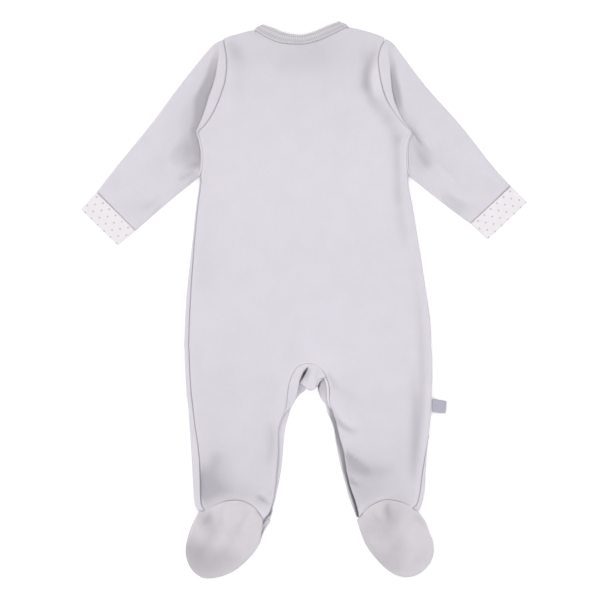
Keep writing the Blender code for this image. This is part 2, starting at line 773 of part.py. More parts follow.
def armhole_run(side):
    """The sleeve's root: the shoulder tip, the back's edge level by level, and its low end."""
    tip = (SLEEVE_TOP_LEFT if side < 0 else SLEEVE_TOP_RIGHT)[0]
    end = (SLEEVE_LOW_LEFT if side < 0 else SLEEVE_LOW_RIGHT)[0]
    points = [Vector((tip[0] + side * SEAM, tip[1]))]
    for r in range(TORSO_ROWS + 1):
        t = r * (len(TORSO) - 1) / TORSO_ROWS
        side_y, edge, _, _ = body_level("torso", t)
        y = side_y
        if closing(side_y) == 0.0:
            y = half_level("torso", "back", t, side)[-1][1]
        if y < end[1] + 5.0:
            break
        gap = lerp(SEAM, TUCKED_SEAM, closing(side_y))
        points.append(Vector((edge[side] + side * gap, y)))
    points.append(Vector((end[0] + side * TUCKED_SEAM, end[1])))
    return points


def pleat_at(side, y):
    """How far the folded cloth stands out beside the armhole, and how far it drops."""
    pleat = row_at(PLEATS, y)
    return (pleat.left_out, pleat.left_drop) if side < 0 else (pleat.right_out, pleat.right_drop)


def fractions_of(points):
    """Each point's share of the length of the line through them."""
    lengths = [0.0]
    for p, q in zip(points, points[1:]):
        lengths.append(lengths[-1] + (q - p).length)
    return [length / lengths[-1] for length in lengths]


def clear_of_ends(share, margin):
    """A share of a line kept a margin away from its ends, where the edges bend."""
    return share if share in (0.0, 1.0) else lerp(margin, 1 - margin, share)


def sleeve_plan(side):
    """Cross lines of the sleeve, from the armhole to the cuff, each point for point."""
    root = armhole_run(side)
    shares = fractions_of(root)
    top = run_of(SLEEVE_TOP_LEFT if side < 0 else SLEEVE_TOP_RIGHT)
    low = run_of(SLEEVE_LOW_LEFT if side < 0 else SLEEVE_LOW_RIGHT)
    clearance = SLEEVE_HEIGHT / 2 + EDGE_CLEARANCE
    fold_top, fold_low = along(top, FOLD_SHARE), root[-1]
    margin = clearance / (fold_top - fold_low).length
    folded = []
    for p in root:
        share = clear_of_ends((root[0].y - p.y) / (root[0].y - fold_low.y), margin)
        y = lerp(fold_top.y, fold_low.y, share)
        folded.append(Vector((x_on(root, y) + side * pleat_at(side, y)[0], y)))
    below = [p + Vector((side * PLEAT_STEP, 0)) for p in folded]
    folded[0], below[0] = fold_top, along(top, BELOW_SHARE)
    margin = clearance / (top[-1] - low[-1]).length
    cuff = [top[-1].lerp(low[-1], clear_of_ends(share, margin)) for share in shares]
    lines = [root, [p.lerp(q, 0.5) for p, q in zip(root, folded)], folded, below]
    for k in range(1, SLEEVE_ROWS + 1):
        s = k / SLEEVE_ROWS
        s = s * (1 - SLEEVE_CROWDING + SLEEVE_CROWDING * s)
        high, deep = along(top, lerp(BELOW_SHARE, 1.0, s)), along(low, s)
        line = []
        for share, p, q in zip(shares, below, cuff):
            edge = high.lerp(deep, share)
            chord = below[0].lerp(top[-1], s).lerp(below[-1].lerp(low[-1], s), share)
            line.append(p.lerp(q, s) + edge - chord)
        lines.append(line)
    return lines, shares


def sleeve_height(side, row, point, root):
    """Upper face of the sleeve: level with the body at the armhole, tucked low beside it."""
    y = root.y
    seam_height = body_height(root.x - side * SEAM, root.y)
    tucked = smooth((UNDERARM_Y + TUCK_LEAD - y) / TUCK_FADE)
    start = lerp(seam_height, TUCKED_HEIGHT, tucked)
    drop = pleat_at(side, y)[1] * (1 - tucked)
    if row <= 2:
        return start
    if row == 3:
        return start - drop
    s = (row - 3) / SLEEVE_ROWS
    settled = smooth(s * SETTLE_RATE)
    relief = fold_relief(SLEEVE_FOLDS, point.x, point.y) * smooth(s * RELIEF_RATE)
    return lerp(start - drop, SLEEVE_HEIGHT, settled) + relief


def tube_ring(line, heights):
    """A closed ring round a flat tube: over the line of points, and back under it."""
    first, last = line[0], line[-1]
    edge_points = []
    for end, other, height in ((first, line[1], heights[1]), (last, line[-2], heights[-2])):
        radius = height / 2
        inward = (other - end).normalized()
        arc = []
        for k in range(ARC_STEPS + 1):
            angle = math.pi * k / ARC_STEPS
            spot = end + inward * radius * (1 - math.sin(angle))
            arc.append((spot.x, spot.y, radius * (1 - math.cos(angle))))
        edge_points.append(arc)
    upper = [(p.x, p.y, h) for p, h in zip(line[1:-1], heights[1:-1])]
    lower = [(p.x, p.y, 0.0) for p in line[1:-1]]
    ring = edge_points[0] + upper + list(reversed(edge_points[1])) + list(reversed(lower))
    return ring + ring[:1]


def make_sleeve(collection, side, cloth, cuff_cloth):
    """One sleeve as a flat tube, and the cuff at its end."""
    lines, shares = sleeve_plan(side)
    root = lines[0]
    rings = []
    for row, line in enumerate(lines):
        heights = [sleeve_height(side, row, p, q) for p, q in zip(line, root)]
        rings.append(tube_ring(line, heights))
    name = "left" if side < 0 else "right"
    cloth_piece(collection, "sleeve_" + name, [rings], CLOTH, cloth, facing_up=side > 0)
    make_cuff(collection, side, lines[-1], shares, cuff_cloth)


def make_cuff(collection, side, seam, shares, cuff_cloth):
    """A flat tube from the sleeve's end line to the wrist."""
    wrist = [Vector(p) for p in (CUFF_LEFT if side < 0 else CUFF_RIGHT)]
    away = ((wrist[0] + wrist[1]) / 2 - (seam[0] + seam[-1]) / 2).normalized()
    margin = (CUFF_HEIGHT / 2 + CUFF_CLEARANCE) / (seam[0] - seam[-1]).length
    cuff_rings = []
    for k in range(CUFF_ROWS + 1):
        line = []
        for share in shares:
            share = clear_of_ends(share, margin)
            start = seam[0].lerp(seam[-1], share) + away * SEAM
            line.append(start.lerp(wrist[0].lerp(wrist[1], share), k / CUFF_ROWS))
        cuff_rings.append(tube_ring(line, [CUFF_HEIGHT] * len(line)))
    name = "cuff_left" if side < 0 else "cuff_right"
    cloth_piece(collection, name, [cuff_rings], CUFF_WALL, cuff_cloth, facing_up=side > 0)


# ---------------------------------------------------------------- feet


def outline_reach(outline, centre, angle):
    """How far a closed outline lies from its centre in one direction."""
    direction = Vector((math.cos(angle), math.sin(angle)))
    for p, q in zip(outline, outline[1:] + outline[:1]):
        edge, start = q - p, p - centre
        cross = direction.x * edge.y - direction.y * edge.x
        if abs(cross) < 1e-9:
            continue
        reach = (start.x * edge.y - start.y * edge.x) / cross
        share = (start.x * direction.y - start.y * direction.x) / cross
        if reach > 0 and -1e-9 <= share <= 1 + 1e-9:
            return reach
    raise ValueError("the outline doesn't go round its centre")


def disc_rows(outline, centre, profile):
    """A round sheet: a square grid drawn out to the outline, ring by ring."""
    rings = FOOT_RINGS
    rows = []
    for j in range(-rings, rings + 1):
        row = []
        for i in range(-rings, rings + 1):
            ring = max(abs(i), abs(j))
            if ring == 0:
                angle = 0.0
            elif abs(i) >= abs(j):
                angle = math.pi / 4 * j / i + (math.pi if i < 0 else 0.0)
            else:
                angle = math.pi / 2 - math.pi / 4 * i / j + (math.pi if j < 0 else 0.0)
            reach = outline_reach(outline, centre, angle)
            direction = Vector((math.cos(angle), math.sin(angle)))
            inset, height = profile(ring, centre + direction * reach, reach)
            spot = centre + direction * inset
            row.append((spot.x, spot.y, height))
        rows.append(row)
    return rows


def rim_step(ring):
    """How far along the turned strip a ring lies: 0 where it starts to bend, then to its end."""
    return max(ring - (FOOT_RINGS - RIM_RINGS), 0)


def rim_place(ring, reach, turn, radius):
    """Distance from the centre and drop of a ring, for a sheet whose edge strip turns down."""
    length = radius * math.pi / 2 + RIM_RUN
    bend = reach - turned(length, turn, radius)[0]
    step = rim_step(ring)
    if step == 0:
        return bend * ring / (FOOT_RINGS - RIM_RINGS), 0.0
    distance = length if step == RIM_RINGS else radius * math.pi / 2 * step / (RIM_RINGS - 1)
    out, drop = turned(distance, turn, radius)
    return bend + out, drop


def sole_profile(heel_run):
    """A low dome that turns down at the free edge and is flat at the heel arc."""
    heel_left, heel_right = heel_run[0].x, heel_run[-1].x

    def profile(ring, spot, reach):
        on_arc = spot.y > y_on(heel_run, spot.x) - ARC_REACH and heel_left < spot.x < heel_right
        from_end = min(spot.x - heel_left, heel_right - spot.x)
        joined = smooth(from_end / JOIN_WIDTH) if on_arc else 0.0
        rim = lerp(SOLE_EDGE_LOW + SOLE_RADIUS + RIM_RUN, LAY_HEIGHT, joined)
        inset, drop = rim_place(ring, reach, math.pi / 2 * (1 - joined), SOLE_RADIUS)
        share = min(ring / (FOOT_RINGS - RIM_RINGS + 0.5), 1.0)
        dome = (SOLE_HEIGHT - rim) * (1 - share**3)
        return inset, rim + dome * (1 if rim_step(ring) == 0 else 0) - drop

    return profile


def upper_profile(ring, spot, reach):
    """Flat on the surface, with its edge turned up to the sole."""
    turn = math.pi / 2 * smooth((TOE_TURN_Y - spot.y) / TOE_TURN_FADE)
    return rim_place(ring, reach, turn, UPPER_RADIUS)


def make_foot(collection, side, sole_cloth, cloth):
    """The domed sole, and the flat foot top under it."""
    name = "left" if side < 0 else "right"
    free, upper = (SOLE_LEFT, UPPER_LEFT) if side < 0 else (SOLE_RIGHT, UPPER_RIGHT)
    heel = HEEL_RUNS[side]
    sole_outline = heel + run_of(free)
    middle = Vector(FOOT_MIDDLES[side])
    rows = disc_rows(sole_outline, middle, sole_profile(heel))
    cloth_piece(collection, "sole_" + name, [rows], CLOTH, sole_cloth)
    rows = disc_rows(run_of(upper), middle, upper_profile)
    cloth_piece(collection, "foot_upper_" + name, [rows], FOOT_WALL, cloth, facing_up=False)


# ---------------------------------------------------------------- crotch


def make_arch_band(collection, cloth):
    """The facing band round the crotch arch, from one side over its top to the other."""
    centre = Vector(ARCH_MIDDLE)
    sides = {}
    for side, table in ((-1, ARCH_FREE_LEFT), (1, ARCH_FREE_RIGHT)):
        rows = []
        for r in range(LEG_ROWS // 2 + 1):
            t = r * (len(LEGS) - 1) / LEG_ROWS
            _, _, y, inner = body_level("legs", t)
            seam = Vector((inner[side], y))
            free = Vector(spline(table, t))
            seam = seam + (centre - seam).normalized() * SEAM
            rows.append(strip_row(seam, free, body_height(seam.x, seam.y)))
        sides[side] = rows
    rows = list(reversed(sides[-1])) + sides[1][1:]
    cloth_piece(collection, "crotch_band_back", [rows], BAND_WALL, cloth)


def make_inseam_bands(collection, cloth):
    """The folded bands on the front's inner leg edges, down to the ankles."""
    for side, name in ((-1, "inseam_band_left"), (1, "inseam_band_right")):
        rows = []
        for r in range(LEG_ROWS + 1):
            t = r * (len(LEGS) - 1) / LEG_ROWS
            _, _, y, inner = body_level("legs", t)
            x, y = front_inner("legs", t, side, inner[side], y)
            y = max(y - SEAM * (1 - smooth((t - 1) / 2)), ankle_y(side, x))
            seam = Vector((x - side * SEAM * smooth(t / 2), y))
            band = Inseam(*spline(INSEAM, t))
            free = Vector((band.left_x, band.left_y) if side < 0 else (band.right_x, band.right_y))
            rows.append(strip_row(seam, free, 0.0))
        cloth_piece(collection, name, [rows], INSEAM_WALL, cloth, facing_up=side < 0)


def strip_row(seam, free, height):
    """A level row of points across a band, from its seam to its free edge."""
    spots = [seam.lerp(free, k / BAND_COLUMNS) for k in range(BAND_COLUMNS + 1)]
    return [(spot.x, spot.y, height) for spot in spots]


def make_tongue(collection, cloth):
    """The rounded tongue that hangs in the arch."""
    rows = []
    for r in range(TONGUE_ROWS + 1):
        part = Tongue(*spline(TONGUE, r * (len(TONGUE) - 1) / TONGUE_ROWS))
        row = []
        for k in range(BAND_COLUMNS + 1):
            x = part.mid_x + part.half_width * (2 * k / BAND_COLUMNS - 1)
            row.append((x, part.y, TONGUE_HEIGHT))
        rows.append(row)
    cloth_piece(collection, "crotch_gusset", [rows], CLOTH, cloth, facing_up=False)


# ---------------------------------------------------------------- neck and tag


def make_binding(collection, binding):
    """One strip: along the front neckline, over a fold, along the back, and round again."""
    count = BINDING_STEPS
    front_seam, front_free = run_of(FRONT_NECK), run_of(BINDING_FRONT_FREE)
    back_seam, back_free = run_of(BACK_NECK), run_of(BINDING_BACK_FREE)
    radius = BINDING_HEIGHT / 2

    def front(share):
        return along(front_seam, share), along(front_free, share), 0.0

    def back(share):
        return along(back_seam, share), along(back_free, share), BINDING_HEIGHT

    def fold(station, outward):
        arc = []
        for k in range(1, ARC_STEPS):
            angle = math.pi * k / ARC_STEPS
            out = Vector(outward) * radius * math.sin(angle)
            arc.append((station[0] + out, station[1] + out, radius * (1 - math.cos(angle))))
        return arc

    ring = [front(0.5 * k / count) for k in range(count, -1, -1)]
    ring += fold(back(0.0), FOLD_LEFT)
    ring += [back(k / (2 * count)) for k in range(2 * count + 1)]
    ring += reversed(fold(back(1.0), FOLD_RIGHT))
    ring += [front(1 - 0.5 * k / count) for k in range(count + 1)]
    rows = []
    for seam, free, z in ring:
        seam = seam + (free - seam).normalized() * lerp(FRONT_NECK_SEAM, SEAM, z / BINDING_HEIGHT)
        rows.append([(p.x, p.y, z) for p in (seam, seam.lerp(free, 0.5), free)])
    cloth_piece(collection, "neck_binding", [rows], BINDING_WALL, binding, facing_up=False)


def make_tag(collection, tape):
    """The side tag: tape that runs out, turns over and comes back above itself."""
    roots = [Vector(p) for p in TAG_ROOT]
    ends = [Vector(p) for p in TAG_END]
    profile = [(0.0, 0.0), (0.5, 0.0)]
    profile += [(1.0, math.pi * k / ARC_STEPS) for k in range(ARC_STEPS + 1)]
    profile += [(0.5, math.pi), (0.0, math.pi)]
    rows = []
    for share, angle in profile:
        row = []
        for k in range(3):
            root, end = roots[0].lerp(roots[1], k / 2), ends[0].lerp(ends[1], k / 2)
            outward = (end - root).normalized()
            bend = end - outward * TAG_RADIUS
            bulge = TAG_RADIUS * math.sin(angle) if share == 1.0 else 0.0
            spot = root.lerp(bend, share) + outward * bulge
            row.append((spot.x, spot.y, TAG_LOW + TAG_RADIUS * (1 - math.cos(angle))))
        rows.append(row)
    cloth_piece(collection, "side_tag", [rows], TAG_WALL, tape, facing_up=False)


def main():
    clear_scene()
    collection = bpy.data.collections.new("footed_sleepsuit")
    bpy.context.scene.collection.children.link(collection)
    cloth = cloth_material("lilac_grey_interlock", LILAC_GREY)
    sole_cloth = cloth_material("sole_interlock", SOLE_GREY)
    binding = cloth_material("ribbed_binding", BINDING_GREY)
    cuff_cloth = cloth_material("dotted_cuff_cotton", CUFF_WHITE)
    tape = cloth_material("tag_tape", TAG_GREY)
    make_body(collection, cloth)
    for side in (-1, 1):
        make_sleeve(collection, side, cloth, cuff_cloth)
        make_foot(collection, side, sole_cloth, cloth)
    make_arch_band(collection, cloth)
    make_inseam_bands(collection, cloth)
    make_tongue(collection, cloth)
    make_binding(collection, binding)
    make_tag(collection, tape)


main()
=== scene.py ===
"""A footed baby sleepsuit in cotton interlock, laid flat with its back up.

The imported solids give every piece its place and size. Here each piece of cloth
becomes a fine thin shell on the same levels, with its creases, seams, ribs and
stitches, and gets its knitted finish. X runs across the garment, Y from the
feet to the neck and Z up from the surface. Tables and sizes are in millimetres.
"""

import math
from collections import namedtuple

import bmesh
import bpy
import numpy as np
from bpy.props import FloatProperty, FloatVectorProperty, PointerProperty
from mathutils import Matrix, Vector


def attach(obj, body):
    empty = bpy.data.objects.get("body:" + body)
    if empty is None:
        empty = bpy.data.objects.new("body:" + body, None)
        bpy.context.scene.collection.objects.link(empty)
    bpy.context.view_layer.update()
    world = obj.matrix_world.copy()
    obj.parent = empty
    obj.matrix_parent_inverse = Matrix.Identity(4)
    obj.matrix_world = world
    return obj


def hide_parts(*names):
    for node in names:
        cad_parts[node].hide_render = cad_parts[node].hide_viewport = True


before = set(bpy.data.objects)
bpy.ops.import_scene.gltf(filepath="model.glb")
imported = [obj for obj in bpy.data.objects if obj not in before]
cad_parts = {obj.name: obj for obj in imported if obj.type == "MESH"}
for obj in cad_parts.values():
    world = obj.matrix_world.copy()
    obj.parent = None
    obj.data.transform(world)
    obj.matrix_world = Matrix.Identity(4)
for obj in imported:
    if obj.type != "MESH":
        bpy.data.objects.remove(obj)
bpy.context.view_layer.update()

bl_info = {
    "name": "Baby sleepsuit",
    "version": (1, 0, 0),
    "blender": (4, 5, 0),
    "location": "3D Viewport > Sidebar > Sleepsuit",
    "description": "Dresses the packed solids of a footed baby sleepsuit in finished cloth",
    "category": "Object",
}

MM = 0.001


def rows_of(kind, *rows):
    """A table: its rows, with the columns that their kind names."""
    return tuple(kind(*row) for row in rows)


# Sizes that the solids have too: seam gaps, bends, heights and strips
SEAM = 0.3
HEEL_SEAM = 0.8
FRONT_NECK_SEAM = 0.9
SOLE_RADIUS = 2.6
UPPER_RADIUS = 2.05
RIM_RUN = 0.4
SOLE_EDGE_LOW = 3.3
LAY_HEIGHT = 4.9
SIDE_RADIUS = LAY_HEIGHT / 2
SLEEVE_HEIGHT = 4.5
CUFF_HEIGHT = 5.4
BINDING_HEIGHT = 5.6
SOLE_HEIGHT = 6.8
LAP_RISE = 1.7
FOLD_SHARE = 0.03
BELOW_SHARE = 0.04
PLEAT_STEP = 0.7
EDGE_STRIP = 9.0
TOP_STRIP = 5.0
LAP_HALF_WIDTH = 8.0
INNER_TUCK = 5.5
CROTCH_RISE = 4.5
HEM_WIDTH = 2.0
HEM_TURN = math.radians(50)
ROW_DROOP = 2.6
SHOULDER_RUN = 0.8

# The places where the levels start to follow the top edge and the heels, where the
# front's lap has run out towards the crotch, and where the crotch starts to rise
TOP_FOLLOW_Y = 150.0
HEEL_FOLLOW_Y = -130.0
LAP_END_Y = -66.5
LAP_FADE = 30.0
CROTCH_START_Y = -10.0

# How soon the panels close below each sleeve's low end, and how soon the sleeve is
# tucked under the side below the underarm
CLOSING_START = 2.0
CLOSING_FADE = 8.0
UNDER_FADE = 9.0
TUCK_START = 4.0
TUCK_FADE = 10.0

# Levels of the torso, from the shoulder tips to the top of the crotch arch:
# the armholes down to the underarms at y 176, then the side edges.
Torso = namedtuple("Torso", "side_y left_x right_x mid_y mid_x")
TORSO = rows_of(
    Torso,
    (268.5, -83.8, 83.8, 263, -3), (261, -82.5, 80.5, 258, -3), (247.5, -81, 78, 245.5, -2.5),
    (230.5, -82.5, 80, 229.5, -2), (213, -88, 85.5, 212, -2), (197, -95, 94.5, 195, -1.5),
    (184, -103.5, 105, 179.5, -1), (176, -110.5, 112.5, 169, -0.5), (166.5, -108.5, 109.5, 157, -0.5),
    (154, -106.5, 108, 143.5, 0), (139.5, -107, 108.5, 128, 0.5), (120.5, -110, 110, 109, 1),
    (96.5, -113.5, 114.5, 83.5, 1.5), (69, -116.5, 119, 55.5, 2), (41.5, -119.5, 123.5, 27, 3),
    (14.5, -122.5, 127.5, -1.5, 4), (-11, -124.5, 131.5, -27.5, 4.5), (-32, -125.5, 133.5, -49.5, 5),
    (-48.5, -126, 134, -66.5, 5.5),
)

# Levels of the legs, from the top of the arch to the ankles. The inner edges
# follow the crotch arch and then the insides of the legs.
Legs = namedtuple("Legs", "side_y left_x right_x inner_y inner_left_x inner_right_x")
LEGS = rows_of(
    Legs,
    (-48.5, -126, 134, -66.5, 5.5, 5.5), (-55, -125.5, 134.5, -69, -4.5, 14),
    (-62, -125.5, 135, -75, -10, 20), (-71.5, -125, 135, -83.5, -14, 24),
    (-83, -124.5, 135, -93.5, -16.5, 26.5), (-98, -123.5, 134.5, -107.5, -18, 26.5),
    (-111.5, -122, 134, -119, -21, 29), (-130.5, -120.5, 132.5, -134.5, -25.5, 33.5),
    (-153.5, -119, 130, -155.5, -27.5, 40.5), (-177.5, -117.5, 128, -179, -28.5, 45.5),
    (-198.5, -116.5, 127, -202, -31, 49.5), (-214.5, -115, 124, -218, -34.5, 53.5),
    (-222, -111, 120, -230.5, -43.5, 56.5),
)

# The front's folded bands along the same levels: the free edges of each.
Inseam = namedtuple("Inseam", "left_x left_y right_x right_y")
INSEAM = rows_of(
    Inseam,
    (5.3, -77, 5.7, -77), (4, -84.5, 10.5, -84.5), (2.5, -90.5, 14, -91), (0.5, -96, 15, -97),
    (-5, -100.5, 18, -104), (-12.5, -111, 25, -113), (-17, -122.5, 30.5, -126.5), (-21, -137, 34, -141),
    (-22.5, -158, 37.5, -158), (-25, -179.5, 41, -180), (-28.5, -201, 46.5, -202),
    (-32, -217.5, 51.5, -217.5), (-37.5, -230, 55, -228),
)

# Top edge of the back: shoulder, neck point, neck seam and on to the right.
NECK_LEFT = (-51.0, 283.5)
NECK_RIGHT = (46.0, 287.0)
BACK_NECK = (
    NECK_LEFT, (-41, 276.5), (-25, 270), (-3, 268),
    (13, 271.5), (29, 278.5), NECK_RIGHT,
)
FRONT_NECK = (
    NECK_LEFT, (-44, 262), (-33.5, 242), (-19, 229), (-2, 224.5),
    (14, 229), (28.5, 243.5), (38.5, 264), NECK_RIGHT,
)
BINDING_BACK_FREE = (
    (-42, 288.5), (-31.5, 285), (-21, 280.5), (-4.5, 277.5),
    (9, 280.5), (21, 286), (35, 291.5),
)
BINDING_FRONT_FREE = (
    (-42, 288.5), (-35, 266.5), (-25.5, 250), (-14.5, 238.5), (-2, 234.5),
    (9.5, 239), (20, 251.5), (29.5, 268.5), (35, 291.5),
)

# The middle of the back's neck and the width over which it is raised, how the front's
# top edge falls short of the shoulders, and the tongue's hair of room in the arch
NECK_MIDDLE_X = -3.0
NECK_RISE_WIDTH = 24.0
NECK_FADE = 4.0
ARCH_HAIR = 0.06

# Heel arcs, where the back meets the soles, from the left to the right.
HEEL_LEFT = (
    (-111, -222.5), (-101.5, -219.5), (-86, -213), (-70, -211),
    (-56.5, -215.5), (-48.5, -222.5), (-43.5, -230.5),
)
HEEL_RIGHT = (
    (56.5, -230.5), (67, -219), (79, -212.5), (89, -210.5),
    (102.5, -213), (112, -217), (120, -222),
)

# The shape that both of a foot's cloths share, round the toe
TOE_LEFT = (
    (-49.5, -261.5), (-67, -280.5), (-82, -289), (-97, -292.5),
    (-108, -291.5), (-118, -283.5), (-123.5, -271.5), (-124, -258.5), (-119.5, -241),
)
TOE_RIGHT = (
    (127.5, -233), (131.5, -244), (135.5, -254), (136, -268), (130.5, -279.5),
    (121, -288), (108, -291.5), (94, -288), (80.5, -277.5), (66.5, -260),
)

# Free edges of the soles, from one end of the heel arc round the toe to the other,
# and the outlines of the foot tops from one end of the ankle seam to the other
SOLES = {
    -1: ((-43.5, -232), (-44.5, -244)) + TOE_LEFT + ((-112, -225.5),),
    1: ((120.5, -223.5),) + TOE_RIGHT + ((61, -246), (56.5, -232)),
}
UPPERS = {
    -1: ((-38, -231.5), (-43, -246)) + TOE_LEFT + ((-112.5, -228), (-111, -223)),
    1: ((120, -223),) + TOE_RIGHT + ((60, -246), (55.5, -231.5)),
}

# Sleeves. The top edge runs from the shoulder tip to the cuff, the low edge
# from where the sleeve comes out under the side of the body.
SLEEVE_TOP_LEFT = (
    (-84.5, 273.5), (-91.5, 270.5), (-101, 262), (-128, 228.5),
    (-161.5, 183.5), (-195.5, 142), (-218, 113),
)
SLEEVE_LOW_LEFT = ((-110, 129), (-119.5, 121.5), (-148, 98), (-177, 72.5))
SLEEVE_TOP_RIGHT = (
    (86.5, 274), (93, 270), (101, 260), (130, 222),
    (164, 184), (197.5, 141.5), (217.5, 119.5),
)
SLEEVE_LOW_RIGHT = ((109.5, 131), (122, 120.5), (148, 100), (175, 80))

# Each sleeve's cloth is folded under itself beside the armhole. The fold
# stands out from the armhole seam by `out` at a height y, and drops by `drop`.
Pleat = namedtuple("Pleat", "y left_out left_drop right_out right_drop")
PLEATS = rows_of(
    Pleat,
    (273.5, 6, 0, 5, 0), (258, 7.5, 0.2, 9.5, 0.1), (247, 10, 1.3, 13, 0.6), (230, 11.5, 1.5, 13, 1.4),
    (213, 12, 1.5, 11.5, 1.5), (197, 10, 1.5, 8.5, 1.4), (184, 6.5, 0.9, 5, 0.9), (176, 2, 0, 2, 0),
    (120, 2, 0, 2, 0),
)

# Cuffs: the corners at the wrist.
CUFF_LEFT = ((-234.5, 95), (-195.5, 57))
CUFF_RIGHT = ((234.5, 102.5), (192.5, 63))

# The two sides of the garment, and what belongs to each
SIDES = ((-1, "left"), (1, "right"))
SIDE_NAMES = dict(SIDES)
SLEEVES = {
    -1: (SLEEVE_TOP_LEFT, SLEEVE_LOW_LEFT, CUFF_LEFT),
    1: (SLEEVE_TOP_RIGHT, SLEEVE_LOW_RIGHT, CUFF_RIGHT),
}

# The side tag: a folded loop of tape in the right side seam.
TAG_ROOT = ((135.1, -104.0), (134.8, -118.0))
TAG_END = ((150.0, -106.5), (149.0, -119.5))
TAG_LOW = 0.6
TAG_RADIUS = 1.2

# Large soft folds: troughs (height below zero) and swells of the upper cloth. On the back the troughs also
# get painted shade and the swells a painted highlight.
Fold = namedtuple("Fold", "x0 y0 x1 y1 width height")
FOLDS = rows_of(
    Fold,
    (65, 258, 64, 225, 7, -1), (64, 225, 86, 192, 7, -0.7), (88, 188, 99, 168, 7, -0.7),
    (99, 168, 99, 108, 6, -0.8), (78, 240, 74, 215, 7, 0.7), (-69, 262, -64, 248, 7, -0.6),
    (-76, 236, -80, 205, 8, 0.6), (-20, 250, 18, 250, 12, -0.5), (-60, 120, 50, 130, 60, 0.5),
    (-100, 100, -104, 20, 9, -0.4), (-88, -172, -105, -208, 11, -0.9), (-47, -212, -36, -206, 4, -0.6),
    (-36, -132, -37, -168, 5, -0.5), (-70, -120, -72, -175, 18, 0.5), (36, -128, 54, -137, 4, -0.7),
    (47, -164, 66, -180, 5, -1.1), (48, -190, 62, -194, 4, -0.6), (118, -104, 117, -182, 6, -0.7),
    (85, -130, 90, -180, 16, 0.4), (5, -66, 5, -72, 26, 0.6),
)
SLEEVE_FOLDS = rows_of(
    Fold,
    (-122, 158, -138, 150, 12, -0.7), (-118, 133, -128, 128, 5, -0.6), (-150, 170, -176, 120, 13, 0.5),
    (115, 172, 130, 143, 5, -0.7), (122, 180, 140, 152, 5, 0.5), (150, 170, 170, 120, 13, 0.4),
    (150, 108, 163, 98, 6, -0.5),
)
SLEEVE_SWELLS = rows_of(
    Fold,
    (-130, 215, -152, 178, 14, 0.6), (-141, 166, -150, 140, 15, 0.7), (128, 200, 150, 170, 14, 0.5),
)

# How far the lines across the sleeves and cuffs keep clear of their bent edges, how the
# sleeve's lines crowd towards the armhole, and how far out its fold has its full shape
EDGE_CLEARANCE = 1.0
CUFF_CLEARANCE = 0.8
LOW_END_CLEARANCE = 5.0
SLEEVE_CROWDING = 0.4
FULL_FOLD_REACH = 7.0

# Where the right armhole's seam is slack, from its upper to its lower end, and how much
SLACK_TOP_Y = 212.0
SLACK_LOW_Y = 150.0
SLACK_SHARE = 0.75

# How the back turns round at the shoulders beyond the neck points, at which leg level
# the inner edges start to turn down, and where the front's upper lap is lifted
SHOULDER_TURN_START = 0.8
SHOULDER_TURN_FADE = 2.5
HEM_START_LEVEL = 5.5
HEM_FADE = 1.5
LIFT_FADE = 5.0
LIFT_END_Y = -80.0

# The cuffs: the lips at the wrist and beside the sleeve, the part that is turned in,
# and the gap beside the sleeve
CUFF_LIP = 0.9
CUFF_BACK_LIP = 0.3
CUFF_TURNED_IN = 9.0
CUFF_GAP = 0.1

# The feet: their middles, how the sole joins the heel arc, where the toe turns up, and
# how far each cloth swells beside the left foot's inner ankle
FOOT_MIDDLES = {-1: np.array((-84.0, -252.0)), 1: np.array((96.0, -250.0))}
JOIN_WIDTH = 8.0
ARC_REACH = 1.5
TOE_TURN_Y = -232.0
TOE_TURN_FADE = 12.0
TOE_SWELL = 3.9
SOLE_SWELL = 0.4
SWELL_MIDDLE = np.array((-38.8, -235.0))
SWELL_WIDTH = 6.0

# The crotch arch: its middle, and the last level of the legs that it reaches, with the
# facing in it, where the tongue covers and light falls on that, and where the tongue
# hangs down and comes loose from the arch
ARCH_MIDDLE = np.array((5.5, -98.0))
ARCH_LAST_LEVEL = 6.0
FACING_LAST_LEVELS = {-1: 6.0, 1: 5.55}
FACING_LIGHT = -0.35
FACING_LIGHT_X = 15.0
FACING_COVER_X = 3.5
FACING_COVER_Y = -88.0
TONGUE_HANG_Y = -74.0
TONGUE_LOOSE_Y = -70.0

# Thickness of the facing, the rounded lips of the folded bands, how far their faces
# crown, and the depth of the binding's ribs
FACING_THICKNESS = 1.3
FACING_LIP = 0.65
BAND_LIP = 0.9
BINDING_LIP = 0.85
FACING_CROWN = 0.15
BAND_CROWN = 0.05
BINDING_CROWN = 0.25
RIB_DEPTH = 0.22

# Walls that the panel doesn't set
FACING_WALL = 0.45
TOE_WALL = 1.4
BINDING_WALL = 0.5

# The ways that the binding turns at the shoulders, and how far its folds stand out
FOLD_LEFT = (-0.5, 0.87)
FOLD_RIGHT = (0.42, 0.91)
SHOULDER_REACH = 1.5
